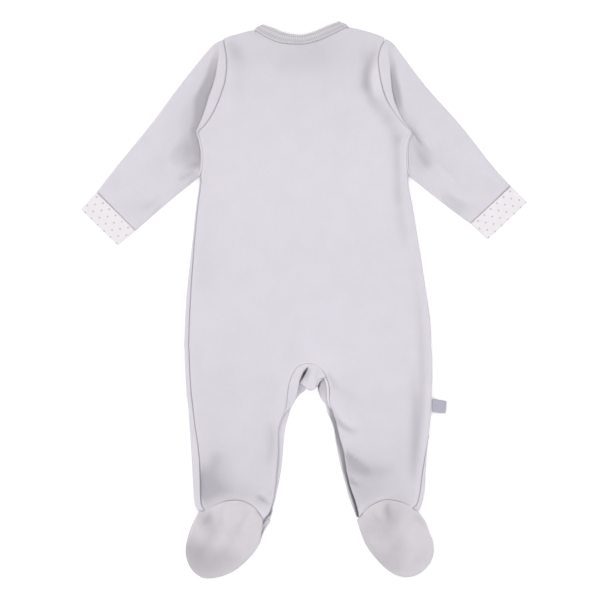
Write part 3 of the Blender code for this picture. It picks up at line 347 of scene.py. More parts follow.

# Fine creases of the upper cloth: a line of places, the half width of the trough, its depth, and the height
# of the swell along its left-hand side. A crease's depth also sets its painted shade.
Crease = namedtuple("Crease", "line width depth swell")
BODY_CREASES = rows_of(
    Crease,
    # beside the armholes and under the neck
    (((-77, 273), (-73, 262), (-68, 248)), 7, 0.75, 0),
    (((-72, 250), (-70, 228), (-74, 206)), 9, 0.35, 0),
    (((78, 266), (70, 250), (66, 234), (68.5, 218), (76, 200)), 4.8, 1.4, 0.4),
    (((72, 218), (80, 202), (93, 184), (99, 164)), 7, 0.5, 0),
    (((98, 176), (100.5, 150), (101, 128), (100, 96)), 6.6, 0.85, 0),
    (((101, 110), (103, 82), (110, 56)), 5.5, 0.5, 0),
    # crotch
    (((24, -76), (29.5, -84), (34, -93)), 2.6, 0.8, 0),
    (((28, -88), (42, -97), (60, -108)), 6, 0.4, -0.1),
    (((29, -113), (34, -124), (43, -133), (55, -139)), 2.6, 0.9, 0.3),
    (((35, -128.5), (41, -134), (52, -140)), 2.2, 0.7, 0.3),
    (((-30, -76), (-34, -94), (-40, -112)), 8, 0.2, 0.1),
    # right leg
    (((37, -156), (48, -168), (58, -177.5), (68, -181)), 3.2, 1.1, -0.4),
    (((42, -172), (66, -181), (98, -178)), 8.5, 0.95, 0),
    (((45, -161), (52, -167.5), (60, -172)), 1.8, 0.9, 0.3),
    (((47, -187), (52, -192), (58, -196)), 2.2, 1.2, 0.3),
    (((115, -78), (117, -120), (116.5, -150), (113, -186)), 4.5, 0.75, -0.3),
    (
        (
            (119, 44), (123, 0), (125.5, -45), (126.5, -78),
            (125.5, -112), (122, -150), (118.5, -190),
        ),
        5.6, 0.9, -0.1,
    ),
    # left leg
    (((-90, -158), (-94, -172), (-100, -186)), 6.5, 0.7, 0),
    (((-110, -198), (-92, -199.5), (-72, -199)), 6.5, 0.6, 0),
    (((-106, -172), (-108, -190), (-108, -206)), 4, 0.6, 0),
    (((-50, -206), (-43, -210.5), (-35, -216)), 2.3, 1.3, 0.5),
    (((-33.5, -130), (-34, -150), (-35, -170)), 3.4, 0.65, -0.3),
)
SLEEVE_CREASES = rows_of(
    Crease,
    (((-113, 134), (-120, 131), (-131, 126)), 2.6, 0.8, 0.3),
    (((-112, 141), (-120, 139), (-128, 137)), 3, 0.5, 0.2),
    (((108, 184), (120, 166), (138, 151)), 3.6, 0.4, -0.2),
    (((114, 166), (121, 153), (129, 139)), 3.2, 0.5, -0.2),
    (((118, 190), (132, 176), (146, 166)), 5, 0.3, 0.2),
    (((150, 112), (160, 104), (170, 101)), 3.5, 0.25, 0.1),
    (((-150, 112), (-160, 100), (-172, 96)), 4, 0.25, 0.1),
)

# Lines of painted shadow on the sleeves, low beside the body, where they are darkest
SLEEVE_SHADOWS = rows_of(
    Crease,
    (((-103.5, 136.4), (-111.3, 130.4), (-122.5, 122)), 1.7, 1.9, 0),
    (((104, 136.4), (113.2, 129.2), (122, 122.6)), 2.5, 0.5, 0),
)
FOOT_CREASES = rows_of(
    Crease,
    (((-98, -221), (-101, -229), (-106, -238)), 3.5, 0.5, 0.2),
    (((-84, -216), (-86, -226), (-85, -238)), 4, 0.4, 0.2),
    (((-60, -224), (-64, -232), (-70, -240)), 3.5, 0.35, 0.15),
    (((88, -214), (88, -222), (90, -232)), 3, 0.6, 0.25),
    (((72, -221), (76, -229), (82, -236)), 3, 0.55, 0.2),
    (((116, -224), (122, -231), (127, -240)), 3, 0.5, 0.2),
)
TONGUE_CREASES = rows_of(
    Crease,
    (((6.5, -72), (4.6, -79), (1, -86)), 2.4, 0.9, 0.3),
    (((14.6, -74), (12.6, -80), (12.8, -88)), 1.8, 0.5, 0.2),
)
BAND_CREASES = rows_of(
    Crease,
    (((22, -81), (17.4, -85.2), (15.2, -90.5), (14.8, -96), (17.2, -102)), 1.5, 1.55, 0),
    (((4.4, -71), (2.4, -74.5), (0.2, -77.6), (-2.2, -83), (-4.9, -88)), 2.3, 1.9, 0),
)

# Soft hollows, as places, half widths and half lengths, and depths; a hollow's depth also sets its painted
# shade
Hollow = namedtuple("Hollow", "x y width length depth")
SLEEVE_HOLLOWS = rows_of(
    Hollow,
    (-108, 157, 26, 15, 1.6), (-118, 203, 17, 22, 0.6), (-118, 180, 18, 16, 0.35),
    (-108, 173, 13, 14, 0.6), (-120, 143.6, 14, 6, 0.5), (-114, 141.5, 5, 4, 0.9),
    (119, 170, 7, 13, 0.3), (142, 158, 9, 11, 0.45), (122, 144, 17, 12, 0.55), (131, 157, 7, 12, 0.15),
    (111, 172, 9, 20, 0.5), (168, 96, 20, 8, 0.3), (-168, 98, 26, 8, 0.35), (196, 118, 12, 12, 0.25),
    (-196, 122, 12, 12, 0.25),
)
BODY_HOLLOWS = rows_of(
    Hollow,
    (0, 274, 78, 40, 0.45), (12.6, 262, 26, 16, 0.2), (-104, -194, 16, 13, 1.3),
    (-93, -200, 38, 14, 0.5), (-72, -208, 56, 12, 0.45), (-67, -172, 56, 30, 0.28),
    (85, -184, 50, 32, 0.28), (74, -196, 32, 12, 0.5), (48, -176, 10, 12, 0.7),
    (60, -208, 20, 14, 0.75), (-77, -138, 42, 68, 0.36), (88, -152, 34, 44, 0.42),
    (-110, -196, 11, 24, 0.75), (-81, -185, 12, 11, 0.4), (101, -214, 18, 11, 0.8),
    (-113, -204, 8, 20, 0.7), (-10, -60, 13, 15, 0.3),
)
FOOT_HOLLOWS = rows_of(
    Hollow,
    (-109, -275, 30, 22, 1.3), (-102, -231, 9, 8, 1.1), (-121, -260, 15, 13, 0.9),
    (-84, -268, 20, 12, 0.4), (88, -224, 8, 12, 1.2), (83, -243, 13, 13, 0.7), (60, -258, 11, 22, 0.9),
    (76, -277, 20, 15, 0.9), (90, -262, 16, 14, 0.35), (96, -228, 9, 14, 1.1), (92, -268, 20, 20, 0.4),
    (-100, -281, 14, 8, 0.6), (-96, -244, 9, 12, 0.6), (104, -280, 12, 8, 0.6),
)
BAND_HOLLOWS = rows_of(
    Hollow,
    (18.4, -93, 4.5, 11, 0.6), (-3, -94, 4.5, 5.5, 0.7),
)

# Where the side seams lie on the finished cloth: the distance round the side
# fold from the start of its bend on the upper face, to the seam.
SideSeam = namedtuple("SideSeam", "y left right")
SIDE_SEAMS = rows_of(
    SideSeam,
    (176, 1, 8.5), (150, 1.4, 8.5), (84, 0.7, 8.5), (60, 0.3, 8.5), (30, -0.9, 8.5), (0, -2, 8.5),
    (-50, -2.3, 8.5), (-115, -2.5, 8.5), (-130, -3.2, 6), (-141, -4, 4.2), (-150, -4.9, 2.4),
    (-168, -5.7, 0.6), (-189, -5.3, -1.5), (-205, -4.8, -2.2), (-222, -4.2, -2.6),
)

# The valley beside each sleeve's fold, by height: how far its floor, in full painted shade, and its slope
# reach out, and how far it sinks and how strongly it is darkened with painted shade
Valley = namedtuple("Valley", "y left_floor left_slope left_press right_floor right_slope right_press")
VALLEYS = rows_of(
    Valley,
    (273.5, 0.5, 4, 0, 0.3, 3, 0), (262, 1.5, 4, 0.2, 0.8, 5, 0.15), (251.7, 4, 5, 0.62, 1.5, 6, 0.4),
    (236, 5.8, 6.5, 0.95, 2.2, 6.5, 1), (220, 8.8, 7, 1, 4.2, 6.5, 1.15),
    (210, 7.6, 10.5, 1, 3.6, 6.5, 1), (204, 5.8, 10, 1, 2.2, 6.5, 0.8),
    (199, 4.7, 9.5, 0.98, 1.6, 6.5, 0.5), (186.6, 2, 9, 0.8, 0.8, 6, 0.2),
    (176, 0.5, 9, 0.6, 0.5, 5, 0.1), (120, 0.5, 9, 0, 0.5, 5, 0),
)

# How many times deeper the finished fold drops than the solid's
VALLEY_DEPTH = 1.6

# How far the finished inner leg edges lie from those of the solids: the back's
# edge and the band's free edge, to the right for more than 0
Move = namedtuple("Move", "y left_edge left_band right_edge right_band")
MOVES = rows_of(
    Move,
    (-100, 0, 0, 0, 0), (-110, 0, 0.2, 0.4, -0.9), (-119, 0, 0.6, 1.5, -3.4),
    (-127, -0.7, 0.9, 2.2, -2.8), (-137, -1, 1.1, 1.2, -1.8), (-147, 0, 0.6, 0, -2.6),
    (-158, 0.9, 0.4, 0, -2.8), (-179, 0, 0.9, -1.2, -1.4), (-195, 0.2, 0.5, -0.2, -0.8),
    (-208, 0.3, 0, 1.6, -1.2), (-218, 0.3, -0.3, 2.1, -0.9), (-226, 2.6, 2, 1.8, -0.5),
    (-231, 1.6, 2.2, 0.8, 0),
)

# The same for the fold beside the right armhole, by height: it stands out less
FOLD_MOVES = (
    (176, -1), (186, -3.2), (210, -3.4), (220, -2.9), (236, -1.7), (250, -0.4), (262, 0),
)

# The finished shoulders, from the sleeve's tip to the neck and back out
SHOULDER_LEFT_LINE = ((-84.5, 274.4), (-77.7, 277.3), (-67, 280.2), (-57, 282.8), NECK_LEFT)
SHOULDER_RIGHT_LINE = (NECK_RIGHT, (67, 281.9), (79.8, 277.7), (86.5, 274.4))

# How strongly the seam round the crotch arch is drawn in and darkened with painted shade, by height on each
# side
ArchSeam = namedtuple("ArchSeam", "y left right")
ARCH_SEAMS = rows_of(
    ArchSeam,
    (-60, 0, 0), (-70, 0, 0), (-75, 0.4, 0.5), (-82, 0.6, 1), (-98, 0.6, 1), (-104, 0.55, 0.4),
    (-109, 0.35, 0.1), (-114, 0.15, 0.5), (-119, 0, 0.5),
)

# The dark slot between each leg band's rim and the back's edge: its width and depth, which also sets its
# painted shadow
Slot = namedtuple("Slot", "y left_width left_depth right_width right_depth")
SLOTS = rows_of(
    Slot,
    (-104, 0.5, 0, 0.8, 0.1), (-112, 0.7, 0, 1.4, 0.7), (-118, 0.8, 0.1, 2.2, 1.05),
    (-136, 1, -0.1, 2.9, 1.1), (-158, 1.4, 0.2, 4.6, 1.15), (-180, 1.6, 0.15, 3.6, 1.35),
    (-195, 1.4, 0.1, 2.8, 1.6), (-208, 1.2, 0.15, 3.4, 1.65), (-220, 1.4, 0.5, 3.4, 1.65),
    (-225, 2.6, 1.4, 3, 1.65), (-232, 2.6, 1.5, 2, 1.5),
)
SLOT_SOFTNESS = 1.5

# The facing inside the arch: its free edge on each side of the arch's top
FACING_FREE_LEFT = (
    (5.5, -71), (2.4, -71.8), (-1.2, -76.6), (-4.6, -84.6),
    (-6, -92.5), (-10, -107.5), (-19.5, -118.5),
)
FACING_FREE_RIGHT = (
    (5.5, -71), (12.2, -71.4), (17.8, -76.4), (21.6, -84.2),
    (23.7, -93.5), (24.6, -107.5), (29.4, -118.5),
)
FACING_GAP = 0.12
COVERED_HEIGHT = 3.3

# The tongue's outline: along the arch, down each side, and round its low end
TONGUE_TOP = ((4.2, -66.6), (9, -67.4), (14, -69.2), (19.4, -74.2), (23, -80.6))
TONGUE_LEFT = ((4.2, -66.6), (4.2, -71.5), (1.9, -77.6), (-1.8, -83.8), (-4.5, -87.6))
TONGUE_RIGHT = ((23, -80.6), (22, -82.2), (19.2, -83.2), (15.9, -83.9))
TONGUE_LOW = (
    (-4.7, -87.6), (0.5, -91.6), (5.6, -95.3), (10.6, -94.4), (13, -91), (14.4, -86.9), (15.9, -83.9),
)

# The dark tuck beside the left foot's inner ankle: a line of painted shadow
ANKLE_SHADOW_LINE = np.array(((-36.4, -223.0), (-40.2, -230.0), (-43.4, -236.0)))

# The end of the sewing thread that curls at the left underarm
LOOSE_THREAD = ((-109.6, 180.2), (-112.4, 179.2), (-113.6, 177), (-112, 175.2), (-110.2, 176.4))

# Across the fold beside the armhole: how far out past the fold line, and the share of its drop
FOLD_PROFILE = (
    (-1.4, 0.0), (-0.9, 0.02), (-0.5, 0.08), (-0.22, 0.2), (-0.06, 0.36), (0.0, 0.52),
    (0.02, 0.68), (0.04, 0.84), (0.12, 0.95), (0.3, 1.0),
)
ROOT_STEPS = (0.0, 0.03, 0.07, 0.13, 0.22, 0.34, 0.48, 0.62, 0.78, 0.92)

# The start of a band's section at its seam: how far out, and the share of its thickness
BAND_START = ((0.0, 0.5), (0.0, 0.24), (0.16, 0.08))

# How finely the cloths are divided: rows, columns, rings and the steps beside edges
INNER_STEPS = (0.35, 0.8, 1.3, 2.0, 3.0, 4.5)
COLUMN_SHARE = 6
ARC_STEPS = 12
EDGE_STEPS = 30
BACK_TORSO_ROWS = 144
BACK_LEG_ROWS = 84
FRONT_TORSO_ROWS = 96
FRONT_LEG_ROWS = 60
END_STEPS = (0.015, 0.035, 0.06, 0.1, 0.15, 0.22)
SLEEVE_ROWS = 84
FOOT_RINGS = 34
RIM_RINGS = 9
BAND_COLUMNS = 30
BAND_ROWS = 140
FACING_COLUMNS = 8
FACING_ROWS = 64
TONGUE_COLUMNS = 40
TONGUE_ROWS = 34
NECK_COLUMNS = 20
FRONT_BINDING_ROWS = 185
BACK_BINDING_ROWS = 243

# How much higher the middle of the back's neck is than on the solids
NECK_RISE = 0.8

# Rows of stitches along the neck binding, as shares of its width
STITCH_ROWS = (0.2, 0.38, 0.82)

# Sewn stitches: the share of each that shows, their height over the cloth, and how far
# the row beside the arch lies from its edge
STITCH_SHARE = 0.72
STITCH_LIFT = 0.05
ARCH_STITCH_INSET = 3.4
THREAD_LIFT = 0.2

# Seams: the ridge beside the heel seam and where it lies flush, the gaps and drops at
# the sleeve's root, and how the cloth's edge rolls down
HEEL_RIDGE = 0.5
HEEL_RIDGE_PLACE = 4.5
HEEL_RIDGE_WIDTH = 2.2
HEEL_GAP = 0.4
HEEL_LOOSE_X = {-1: -80.0, 1: 96.0}
HEEL_LOOSE_FADE = 14.0
ROOT_GAP = -0.05
ROOT_DROP = 0.5
FRONT_INSET = 1.1
ROLL_WIDTH = 0.75
RIDGE_PLACE = 3.6
RIDGE_WIDTH = 1.8

# The depth of a crease at which its painted shade is full, and the painted tones of the cloth: painted
# shade, painted full shadow, painted highlight, and how strongly the rim above a tucked sleeve gets a
# painted highlight
FULL_SHADE_DEPTH = 2.2
PAINTED_SHADE_TONE = 0.66
PAINTED_SHADOW_TONE = 0.06
PAINTED_HIGHLIGHT_TONE = 1.2
RIM_LIGHT = 0.25

# The slot of most of the cloth
INTERLOCK = "lilac_grey_interlock"

# Broad soft lights all round, a little stronger from the upper left: strength and place
SIDE_LIGHTS = (
    ("light_upper_left", 0.95, (-1.5, 1.3, 1.35)),
    ("light_upper_right", 0.62, (1.6, 1.0, 1.35)),
    ("light_lower_left", 0.55, (-1.3, -1.5, 1.35)),
    ("light_lower_right", 0.5, (1.4, -1.4, 1.35)),
)

# The stage: how far the floor lies below, and the camera's lens and place
FLOOR_DROP = 0.0003
LENS = 99.9
CAMERA_PLACE = (4.2 * MM, -8.66 * MM, 1.8)


# ------------------------------------------------------------------ curves


def smooth(t):
    """0 below 0, 1 above 1, and an even S between."""
    t = np.clip(t, 0.0, 1.0)
    return t * t * (3.0 - 2.0 * t)


def lerp(a, b, t):
    return a + (b - a) * t


def bell(distance, width):
    """1 at no distance, falling softly to nothing within about two widths."""
    return np.exp(-((distance / width) ** 2))


def spline(rows, t):
    """A smooth curve through the rows of a table, t counted in rows."""
    last = len(rows) - 1
    t = min(max(t, 0.0), float(last))
    i = min(int(t), last - 1)
    f = t - i
    before, a, b, after = (np.array(rows[min(max(k, 0), last)], float) for k in (i - 1, i, i + 1, i + 2))
    slope_a, slope_b = (b - before) / 2, (after - a) / 2
    return (
        a * (2 * f**3 - 3 * f**2 + 1)
        + slope_a * (f**3 - 2 * f**2 + f)
        + b * (3 * f**2 - 2 * f**3)
        + slope_b * (f**3 - f**2)
    )


def run_of(points, steps=16):
    """A smooth curve through the points, as many short straight steps."""
    count = (len(points) - 1) * steps
    return np.array([spline(points, k / steps) for k in range(count + 1)])


def lengths_of(run):
    """The distance along a run at each of its points."""
    steps = np.linalg.norm(np.diff(run, axis=0), axis=1)
    return np.concatenate(([0.0], np.cumsum(steps)))


def along(run, fraction):
    """Points at fractions of a run's length."""
    lengths = lengths_of(run)
    wanted = np.clip(fraction, 0.0, 1.0) * lengths[-1]
    return np.stack([np.interp(wanted, lengths, run[:, k]) for k in range(run.shape[1])], axis=-1)


def y_on(run, x):
    """The height of a run that goes steadily across, at x."""
    order = np.argsort(run[:, 0], kind="stable")
    return np.interp(x, run[order, 0], run[order, 1])


def x_on(run, y):
    """Where a run that goes steadily down is, at a height."""
    return y_on(run[:, ::-1], y)


def column_of(table, name, key="y"):
    """A table's column against its key column, for np.interp."""
    rows = sorted(table, key=lambda row: getattr(row, key))
    return [getattr(row, key) for row in rows], [getattr(row, name) for row in rows]


def table_value(table, name, y):
    """A table's column, read at heights y."""
    return np.interp(y, *column_of(table, name))


def beside(run, x, y):
    """Distance of places from a run, positive on its left, and the share of the run there."""
    best = np.full(np.shape(x), 1e9)
    sign = np.ones(np.shape(x))
    share = np.zeros(np.shape(x))
    last = len(run) - 1
    for k in range(last):
        (px, py), (dx, dy) = run[k], run[k + 1] - run[k]
        t = np.clip(((x - px) * dx + (y - py) * dy) / (dx * dx + dy * dy), 0.0, 1.0)
        off_x, off_y = x - px - t * dx, y - py - t * dy
        away = np.hypot(off_x, off_y)
        nearer = away < best
        best = np.where(nearer, away, best)
        sign = np.where(nearer, np.sign(dx * off_y - dy * off_x), sign)
        share = np.where(nearer, (k + t) / last, share)
    return best * sign, share


def distance_to(run, x, y):
    """How far places are from a run, on either side of it."""
    return np.abs(beside(run, x, y)[0])


def fold_relief(folds, x, y):
    """The height that the large folds add to the upper cloth."""
    total = np.zeros(np.shape(x))
    for fold in folds:
        dx, dy = fold.x1 - fold.x0, fold.y1 - fold.y0
        t = np.clip(((x - fold.x0) * dx + (y - fold.y0) * dy) / (dx * dx + dy * dy), 0.0, 1.0)
        away = np.hypot(x - fold.x0 - t * dx, y - fold.y0 - t * dy)
        total = total + fold.height * bell(away, fold.width)
    return total


def hollow_relief(hollows, x, y):
    """The depth of the soft hollows, as heights below 0."""
    return -sum(
        hollow.depth * bell(np.hypot((x - hollow.x) / hollow.width, (y - hollow.y) / hollow.length), 1.0)
        for hollow in hollows
    )


def crease_relief(creases, x, y):
    """The height that the fine creases add, each fading towards both its ends."""
    total = np.zeros(np.shape(x))
    for crease in creases:
        run = run_of(crease.line, 6)
        reach = 5 * crease.width
        low, high = run.min(axis=0) - reach, run.max(axis=0) + reach
        near = (x > low[0]) & (x < high[0]) & (y > low[1]) & (y < high[1])
        if not near.any():
            continue
        away, share = beside(run, x[near], y[near])
        fade = np.sin(np.pi * np.clip(share, 0.02, 0.98)) ** 0.7
        shape = -crease.depth * bell(away, crease.width)
        shape += crease.swell * bell(np.abs(away - 2.1 * crease.width), 1.5 * crease.width) * (away > 0)
        total[near] += shape * fade
    return total


def undulation(x, y):
    """The faint waves of cloth that has been pressed and laid by hand."""
    waves = (
        (0.11, -0.04, 0.4, 0.08), (0.05, 0.10, 1.9, 0.08), (-0.19, 0.13, 4.4, 0.025),
        (0.31, 0.12, 2.2, 0.012), (0.02, 0.38, 0.7, 0.015), (-0.45, 0.28, 5.1, 0.01),
    )
    total = np.zeros(np.shape(x))
    for across_step, along_step, start, height in waves:
        bend = 0.8 * np.sin(0.031 * x - 0.027 * y + start)
        total = total + height * np.sin(across_step * x + along_step * y + start + bend)
    return total


def seam_relief(distance, roll=0.6, ridge=0.2):
    """The cloth's edge rolled down into a seam, and the allowance pressed under it."""
    return -roll * bell(distance, ROLL_WIDTH) + ridge * bell(distance - RIDGE_PLACE, RIDGE_WIDTH)


def turned(distance, turn, radius):
    """How far out and how far round a strip of cloth is, distance past its bend."""
    arc = np.minimum(distance, radius * turn)
    angle = arc / radius
    rest = distance - arc
    out = radius * np.sin(angle) + rest * np.cos(turn)
    drop = radius * (1 - np.cos(angle)) + rest * np.sin(turn)
    return out, drop


# ------------------------------------------------------------------ meshes


def patch_on(spots, cloth, pressed=None):
    """A grid mesh laid on an array of places, with its cloth coordinates as UVs.

    The last array gives the light and shade painted on each place: at 1 painted shade, at 2 painted full
    shadow, and below 0 a painted highlight.
    """
    rows, columns = spots.shape[:2]
    bm = bmesh.new()
    bmesh.ops.create_grid(bm, x_segments=columns - 1, y_segments=rows - 1, size=1.0)
    patch = bpy.data.meshes.new("patch")
    bm.to_mesh(patch)
    bm.free()
    places = np.empty(len(patch.vertices) * 3)
    patch.vertices.foreach_get("co", places)
    places = places.reshape(-1, 3)
    i = np.rint((places[:, 0] + 1) / 2 * (columns - 1)).astype(int)
    j = np.rint((places[:, 1] + 1) / 2 * (rows - 1)).astype(int)
    patch.vertices.foreach_set("co", (spots[j, i] * MM).ravel())
    corners = np.empty(len(patch.loops), dtype=np.int32)
    patch.loops.foreach_get("vertex_index", corners)
    layer = patch.uv_layers.new(name="cloth")
    layer.uv.foreach_set("vector", (cloth[j, i] * MM)[corners].ravel())
    # The attribute of painted shade, painted shadow and painted highlight that the finishes mix into the
    # colour
    depth = patch.attributes.new("pressed", "FLOAT", "POINT")
    values = np.zeros(len(places)) if pressed is None else np.asarray(pressed, float)[j, i]
    depth.data.foreach_set("value", values)
    return patch


def add_object(name, bm, material):
    """A new object in the scene from a bmesh, with one material."""
    mesh = bpy.data.meshes.new(name)
    bm.to_mesh(mesh)
    bm.free()
    mesh.materials.append(material)
    thing = bpy.data.objects.new(name, mesh)
    bpy.context.scene.collection.objects.link(thing)
    return thing


def add_cloth(name, node, slot, patches, wall, facing_up=True):
    """One piece of cloth from patches that share edges, with a wall on its inner side.

    It takes the place of the solid `node`, which it hides, in a slot's finish.
    """
    bm = bmesh.new()
    for arrays in patches:
        patch = patch_on(*arrays)
        bm.from_mesh(patch)
        bpy.data.meshes.remove(patch)
    bmesh.ops.remove_doubles(bm, verts=bm.verts, dist=1e-6)
    if not facing_up:
        bmesh.ops.reverse_faces(bm, faces=bm.faces)
    piece = add_object(name, bm, finish_of(slot))
    piece.data.shade_smooth()
    solidify = piece.modifiers.new("Wall", "SOLIDIFY")
    solidify.thickness = wall
    solidify.offset = -1.0
    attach(piece, "root")
    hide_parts(node)
    outer_face = sum(face.area for face in piece.data.polygons)


# ------------------------------------------------------------------ body


def risen(line):
    """A line of the back's neck, raised a little in its middle."""
    return [(x, y + NECK_RISE * bell(x - NECK_MIDDLE_X, NECK_RISE_WIDTH)) for x, y in line]


NECK_RUN = run_of(risen(BACK_NECK))
TOP_RUN = np.concatenate((run_of(SHOULDER_LEFT_LINE)[:-1], NECK_RUN[:-1], run_of(SHOULDER_RIGHT_LINE)))
FRONT_TOP_RUN = run_of(FRONT_NECK)
HEEL_RUNS = {-1: run_of(HEEL_LEFT), 1: run_of(HEEL_RIGHT)}
UNDERARM_Y = TORSO[7].side_y
SEAM_COLUMNS = {side: column_of(SIDE_SEAMS, name) for side, name in SIDES}


def body_level(part, t):
    """Side and inner points of a level: side y, {side: x}, inner y, {side: x}."""
    if part == "torso":
        side_y, left, right, inner_y, middle = spline(TORSO, t)
        return side_y, {-1: left, 1: right}, inner_y, {-1: middle, 1: middle}
    side_y, left, right, inner_y, inner_left, inner_right = spline(LEGS, t)
    inner = {-1: inner_left + moved("left_edge", inner_y), 1: inner_right + moved("right_edge", inner_y)}
    return side_y, {-1: left, 1: right}, inner_y, inner


def moved(name, y):
    """How far a finished inner leg edge lies from the solid's, at a height."""
    return float(table_value(MOVES, name, y))


def closing(side, y):
    """0 beside an armhole and its sleeve, where the panels end flat, and 1 below them."""
    low_end = SLEEVES[side][1][0][1]
    return smooth((low_end + CLOSING_START - y) / CLOSING_FADE)


def under_sleeve(y):
    """0 above the underarm, and 1 below it, where the sleeve is tucked under the side."""
    return smooth((UNDERARM_Y - y) / UNDER_FADE)


def tucked_at(y):
    """0 along the armhole, and 1 where the sleeve goes down under the side."""
    return smooth((UNDERARM_Y + TUCK_START - y) / TUCK_FADE)


def top_follow(side_y):
    """0 low on the torso, rising to 1 at the shoulders, where levels follow the top edge."""
    return smooth((side_y - TOP_FOLLOW_Y) / (TORSO[0].side_y - TOP_FOLLOW_Y))


def lap_at(part, inner_y):
    """Half the width by which the front's two halves lap, which ends at the crotch."""
    return LAP_HALF_WIDTH * smooth((inner_y - LAP_END_Y) / LAP_FADE) if part == "torso" else 0.0


def panel_edge(panel, side, y, edge_x):
    """Where a panel starts to bend at its side, how far it turns, and where it ends."""
    closed = closing(side, y)
    seam = float(np.interp(y, *SEAM_COLUMNS[side]))
    end = seam - SEAM / 2 if panel == "back" else math.pi * SIDE_RADIUS - seam - SEAM / 2
    inset = FRONT_INSET * under_sleeve(y) * (1 - closed) if panel == "front" else 0.0
    return edge_x - side * (SIDE_RADIUS * closed + inset), math.pi * closed, end * closed


def edge_strip(side, bend_x, turn, end):
    """x and drop across the cloth beside an edge, from inside it to its end."""
    even = np.linspace(0, 1, EDGE_STEPS + 1)
    shares = 0.75 * even + 0.25 * (1 - (1 - even) ** 3)
    distance = lerp(-EDGE_STRIP, end, shares)
    out, drop = turned(np.maximum(distance, 0.0), turn, SIDE_RADIUS)
    return bend_x + side * (out + np.minimum(distance, 0.0)), drop


def flat_columns(panel, side, inner_x, lap, start_x, follow):
    """The columns between the inner edge and the side strip, one on the neck point."""
    if panel == "back":
        first = inner_x + side * np.array((0.0,) + INNER_STEPS)
        outer_count, count = 3 * COLUMN_SHARE, 8 * COLUMN_SHARE
    else:
        steps = (0.0, lap / 2, lap, lap + 0.5, 2 * lap + 1.0, 2 * lap + 3.5, 2 * lap + 6.0)
        first = inner_x + side * np.array(steps)
        outer_count, count = COLUMN_SHARE, 3 * COLUMN_SHARE
    neck_x = (NECK_LEFT if side < 0 else NECK_RIGHT)[0]
    k = np.arange(1, count)
    neck_count = count - outer_count
    even = lerp(first[-1], start_x, k / count)
    inner = lerp(first[-1], neck_x, k / neck_count)
    outer = lerp(neck_x, start_x, (k - neck_count) / outer_count)
    return np.concatenate((first, lerp(even, np.where(k <= neck_count, inner, outer), follow)))


def front_inner(part, t, side, inner_x, inner_y):
    """The front's inner edge: the lap's edge, then inside the leg's inner edge."""
    if part == "torso":
        rise = CROTCH_RISE * smooth((CROTCH_START_Y - inner_y) / (CROTCH_START_Y - LAP_END_Y))
        return inner_x - side * (lap_at(part, inner_y) - SEAM / 2), inner_y + rise
    tuck = INNER_TUCK * smooth(t / 3.0)
    rise = CROTCH_RISE * (1 - smooth(t / 4.0))
    return inner_x + side * (tuck + SEAM / 2), inner_y + rise


def front_top(x):
    """The front's top edge: the shoulders, and a neckline that is cut lower."""
    necked = (x >= NECK_LEFT[0]) & (x <= NECK_RIGHT[0])
    return np.where(necked, y_on(FRONT_TOP_RUN, x), y_on(TOP_RUN, x))


def ankle_y(side, x):
    """The straight seam across the front of an ankle."""
    (x0, y0), (x1, y1) = UPPERS[side][0], UPPERS[side][-1]
    return lerp(y0, y1, (x - x0) / (x1 - x0)) + SEAM


def panel_y(part, panel, side, level, x, drop):
    """The heights of a level: it droops to the crotch, and follows the end edges."""
    side_y, edge_x, inner_y, inner_x = level
    u = np.clip((x - edge_x) / (inner_x - edge_x), 0.0, 1.0)
    y = lerp(side_y, inner_y, u**ROW_DROOP)
    if part == "torso":
        top = (y_on(TOP_RUN, x) if panel == "back" else front_top(x)) - TOP_STRIP
        first = lerp(TORSO[0].side_y, TORSO[0].mid_y, u**ROW_DROOP)
        return y + (top - first) * top_follow(side_y) ** 2
    follow = smooth((side_y - HEEL_FOLLOW_Y) / (LEGS[-1].side_y - HEEL_FOLLOW_Y)) ** 3
    ends = [y_on(HEEL_RUNS[side], x) + HEEL_GAP * heel_strength(side, x), ankle_y(side, x)]
    own, other = ends if panel == "back" else reversed(ends)
    low = lerp(own, other, smooth(drop / LAY_HEIGHT))
    last = lerp(LEGS[-1].side_y, LEGS[-1].inner_y, u**ROW_DROOP)
    return y + (low - last) * follow


def half_level(part, panel, t, side):
    """One level of half a panel, from its inner edge out: x, y, drop, fold share."""
    side_y, edge, inner_y, inner = body_level(part, t)
    edge_x, inner_x = edge[side], inner[side]
    lap = lap_at(part, inner_y)
    bend_x, turn, end = panel_edge(panel, side, side_y, edge_x)
    if panel == "front":
        inner_x, inner_y = front_inner(part, t, side, inner_x, inner_y)
    strip_x, strip_drop = edge_strip(side, bend_x, turn, end)
    follow = top_follow(side_y) if part == "torso" else 0.0
    flat = flat_columns(panel, side, inner_x, lap, strip_x[0], follow)
    x = np.concatenate((flat, strip_x))
    drop = np.concatenate((np.zeros(len(flat)), strip_drop))
    away = np.maximum(side * (edge_x - side * SIDE_RADIUS - x), 0.0)
    share = 1 - under_sleeve(side_y) * (1 - smooth(away / 10.0))
    level = (side_y, edge_x, inner_y, inner_x)
    return x, panel_y(part, panel, side, level, x, drop), drop, share


def levels_of(part, rows):
    """Level numbers from the feet up, closer together beside the seams at the ends."""
    last = len(TORSO if part == "torso" else LEGS) - 1
    near_end = [last - step for step in END_STEPS]
    return np.unique(np.concatenate((np.linspace(0, last, rows + 1), near_end)))[::-1]


def hem_tip(side, t, x, z):
    """A leg's inner edge, turned down a little below the crotch arch."""
    turn = HEM_TURN * smooth((t - HEM_START_LEVEL) / HEM_FADE)
    if turn == 0:
        return x, z
    count = 1 + INNER_STEPS.index(HEM_WIDTH)
    distance = HEM_WIDTH - np.array((0.0,) + INNER_STEPS[: count - 1])
    out, drop = turned(distance, turn, HEM_WIDTH / turn)
    x[:count] = x[count] - side * out
    z[:count] -= drop
    return x, z


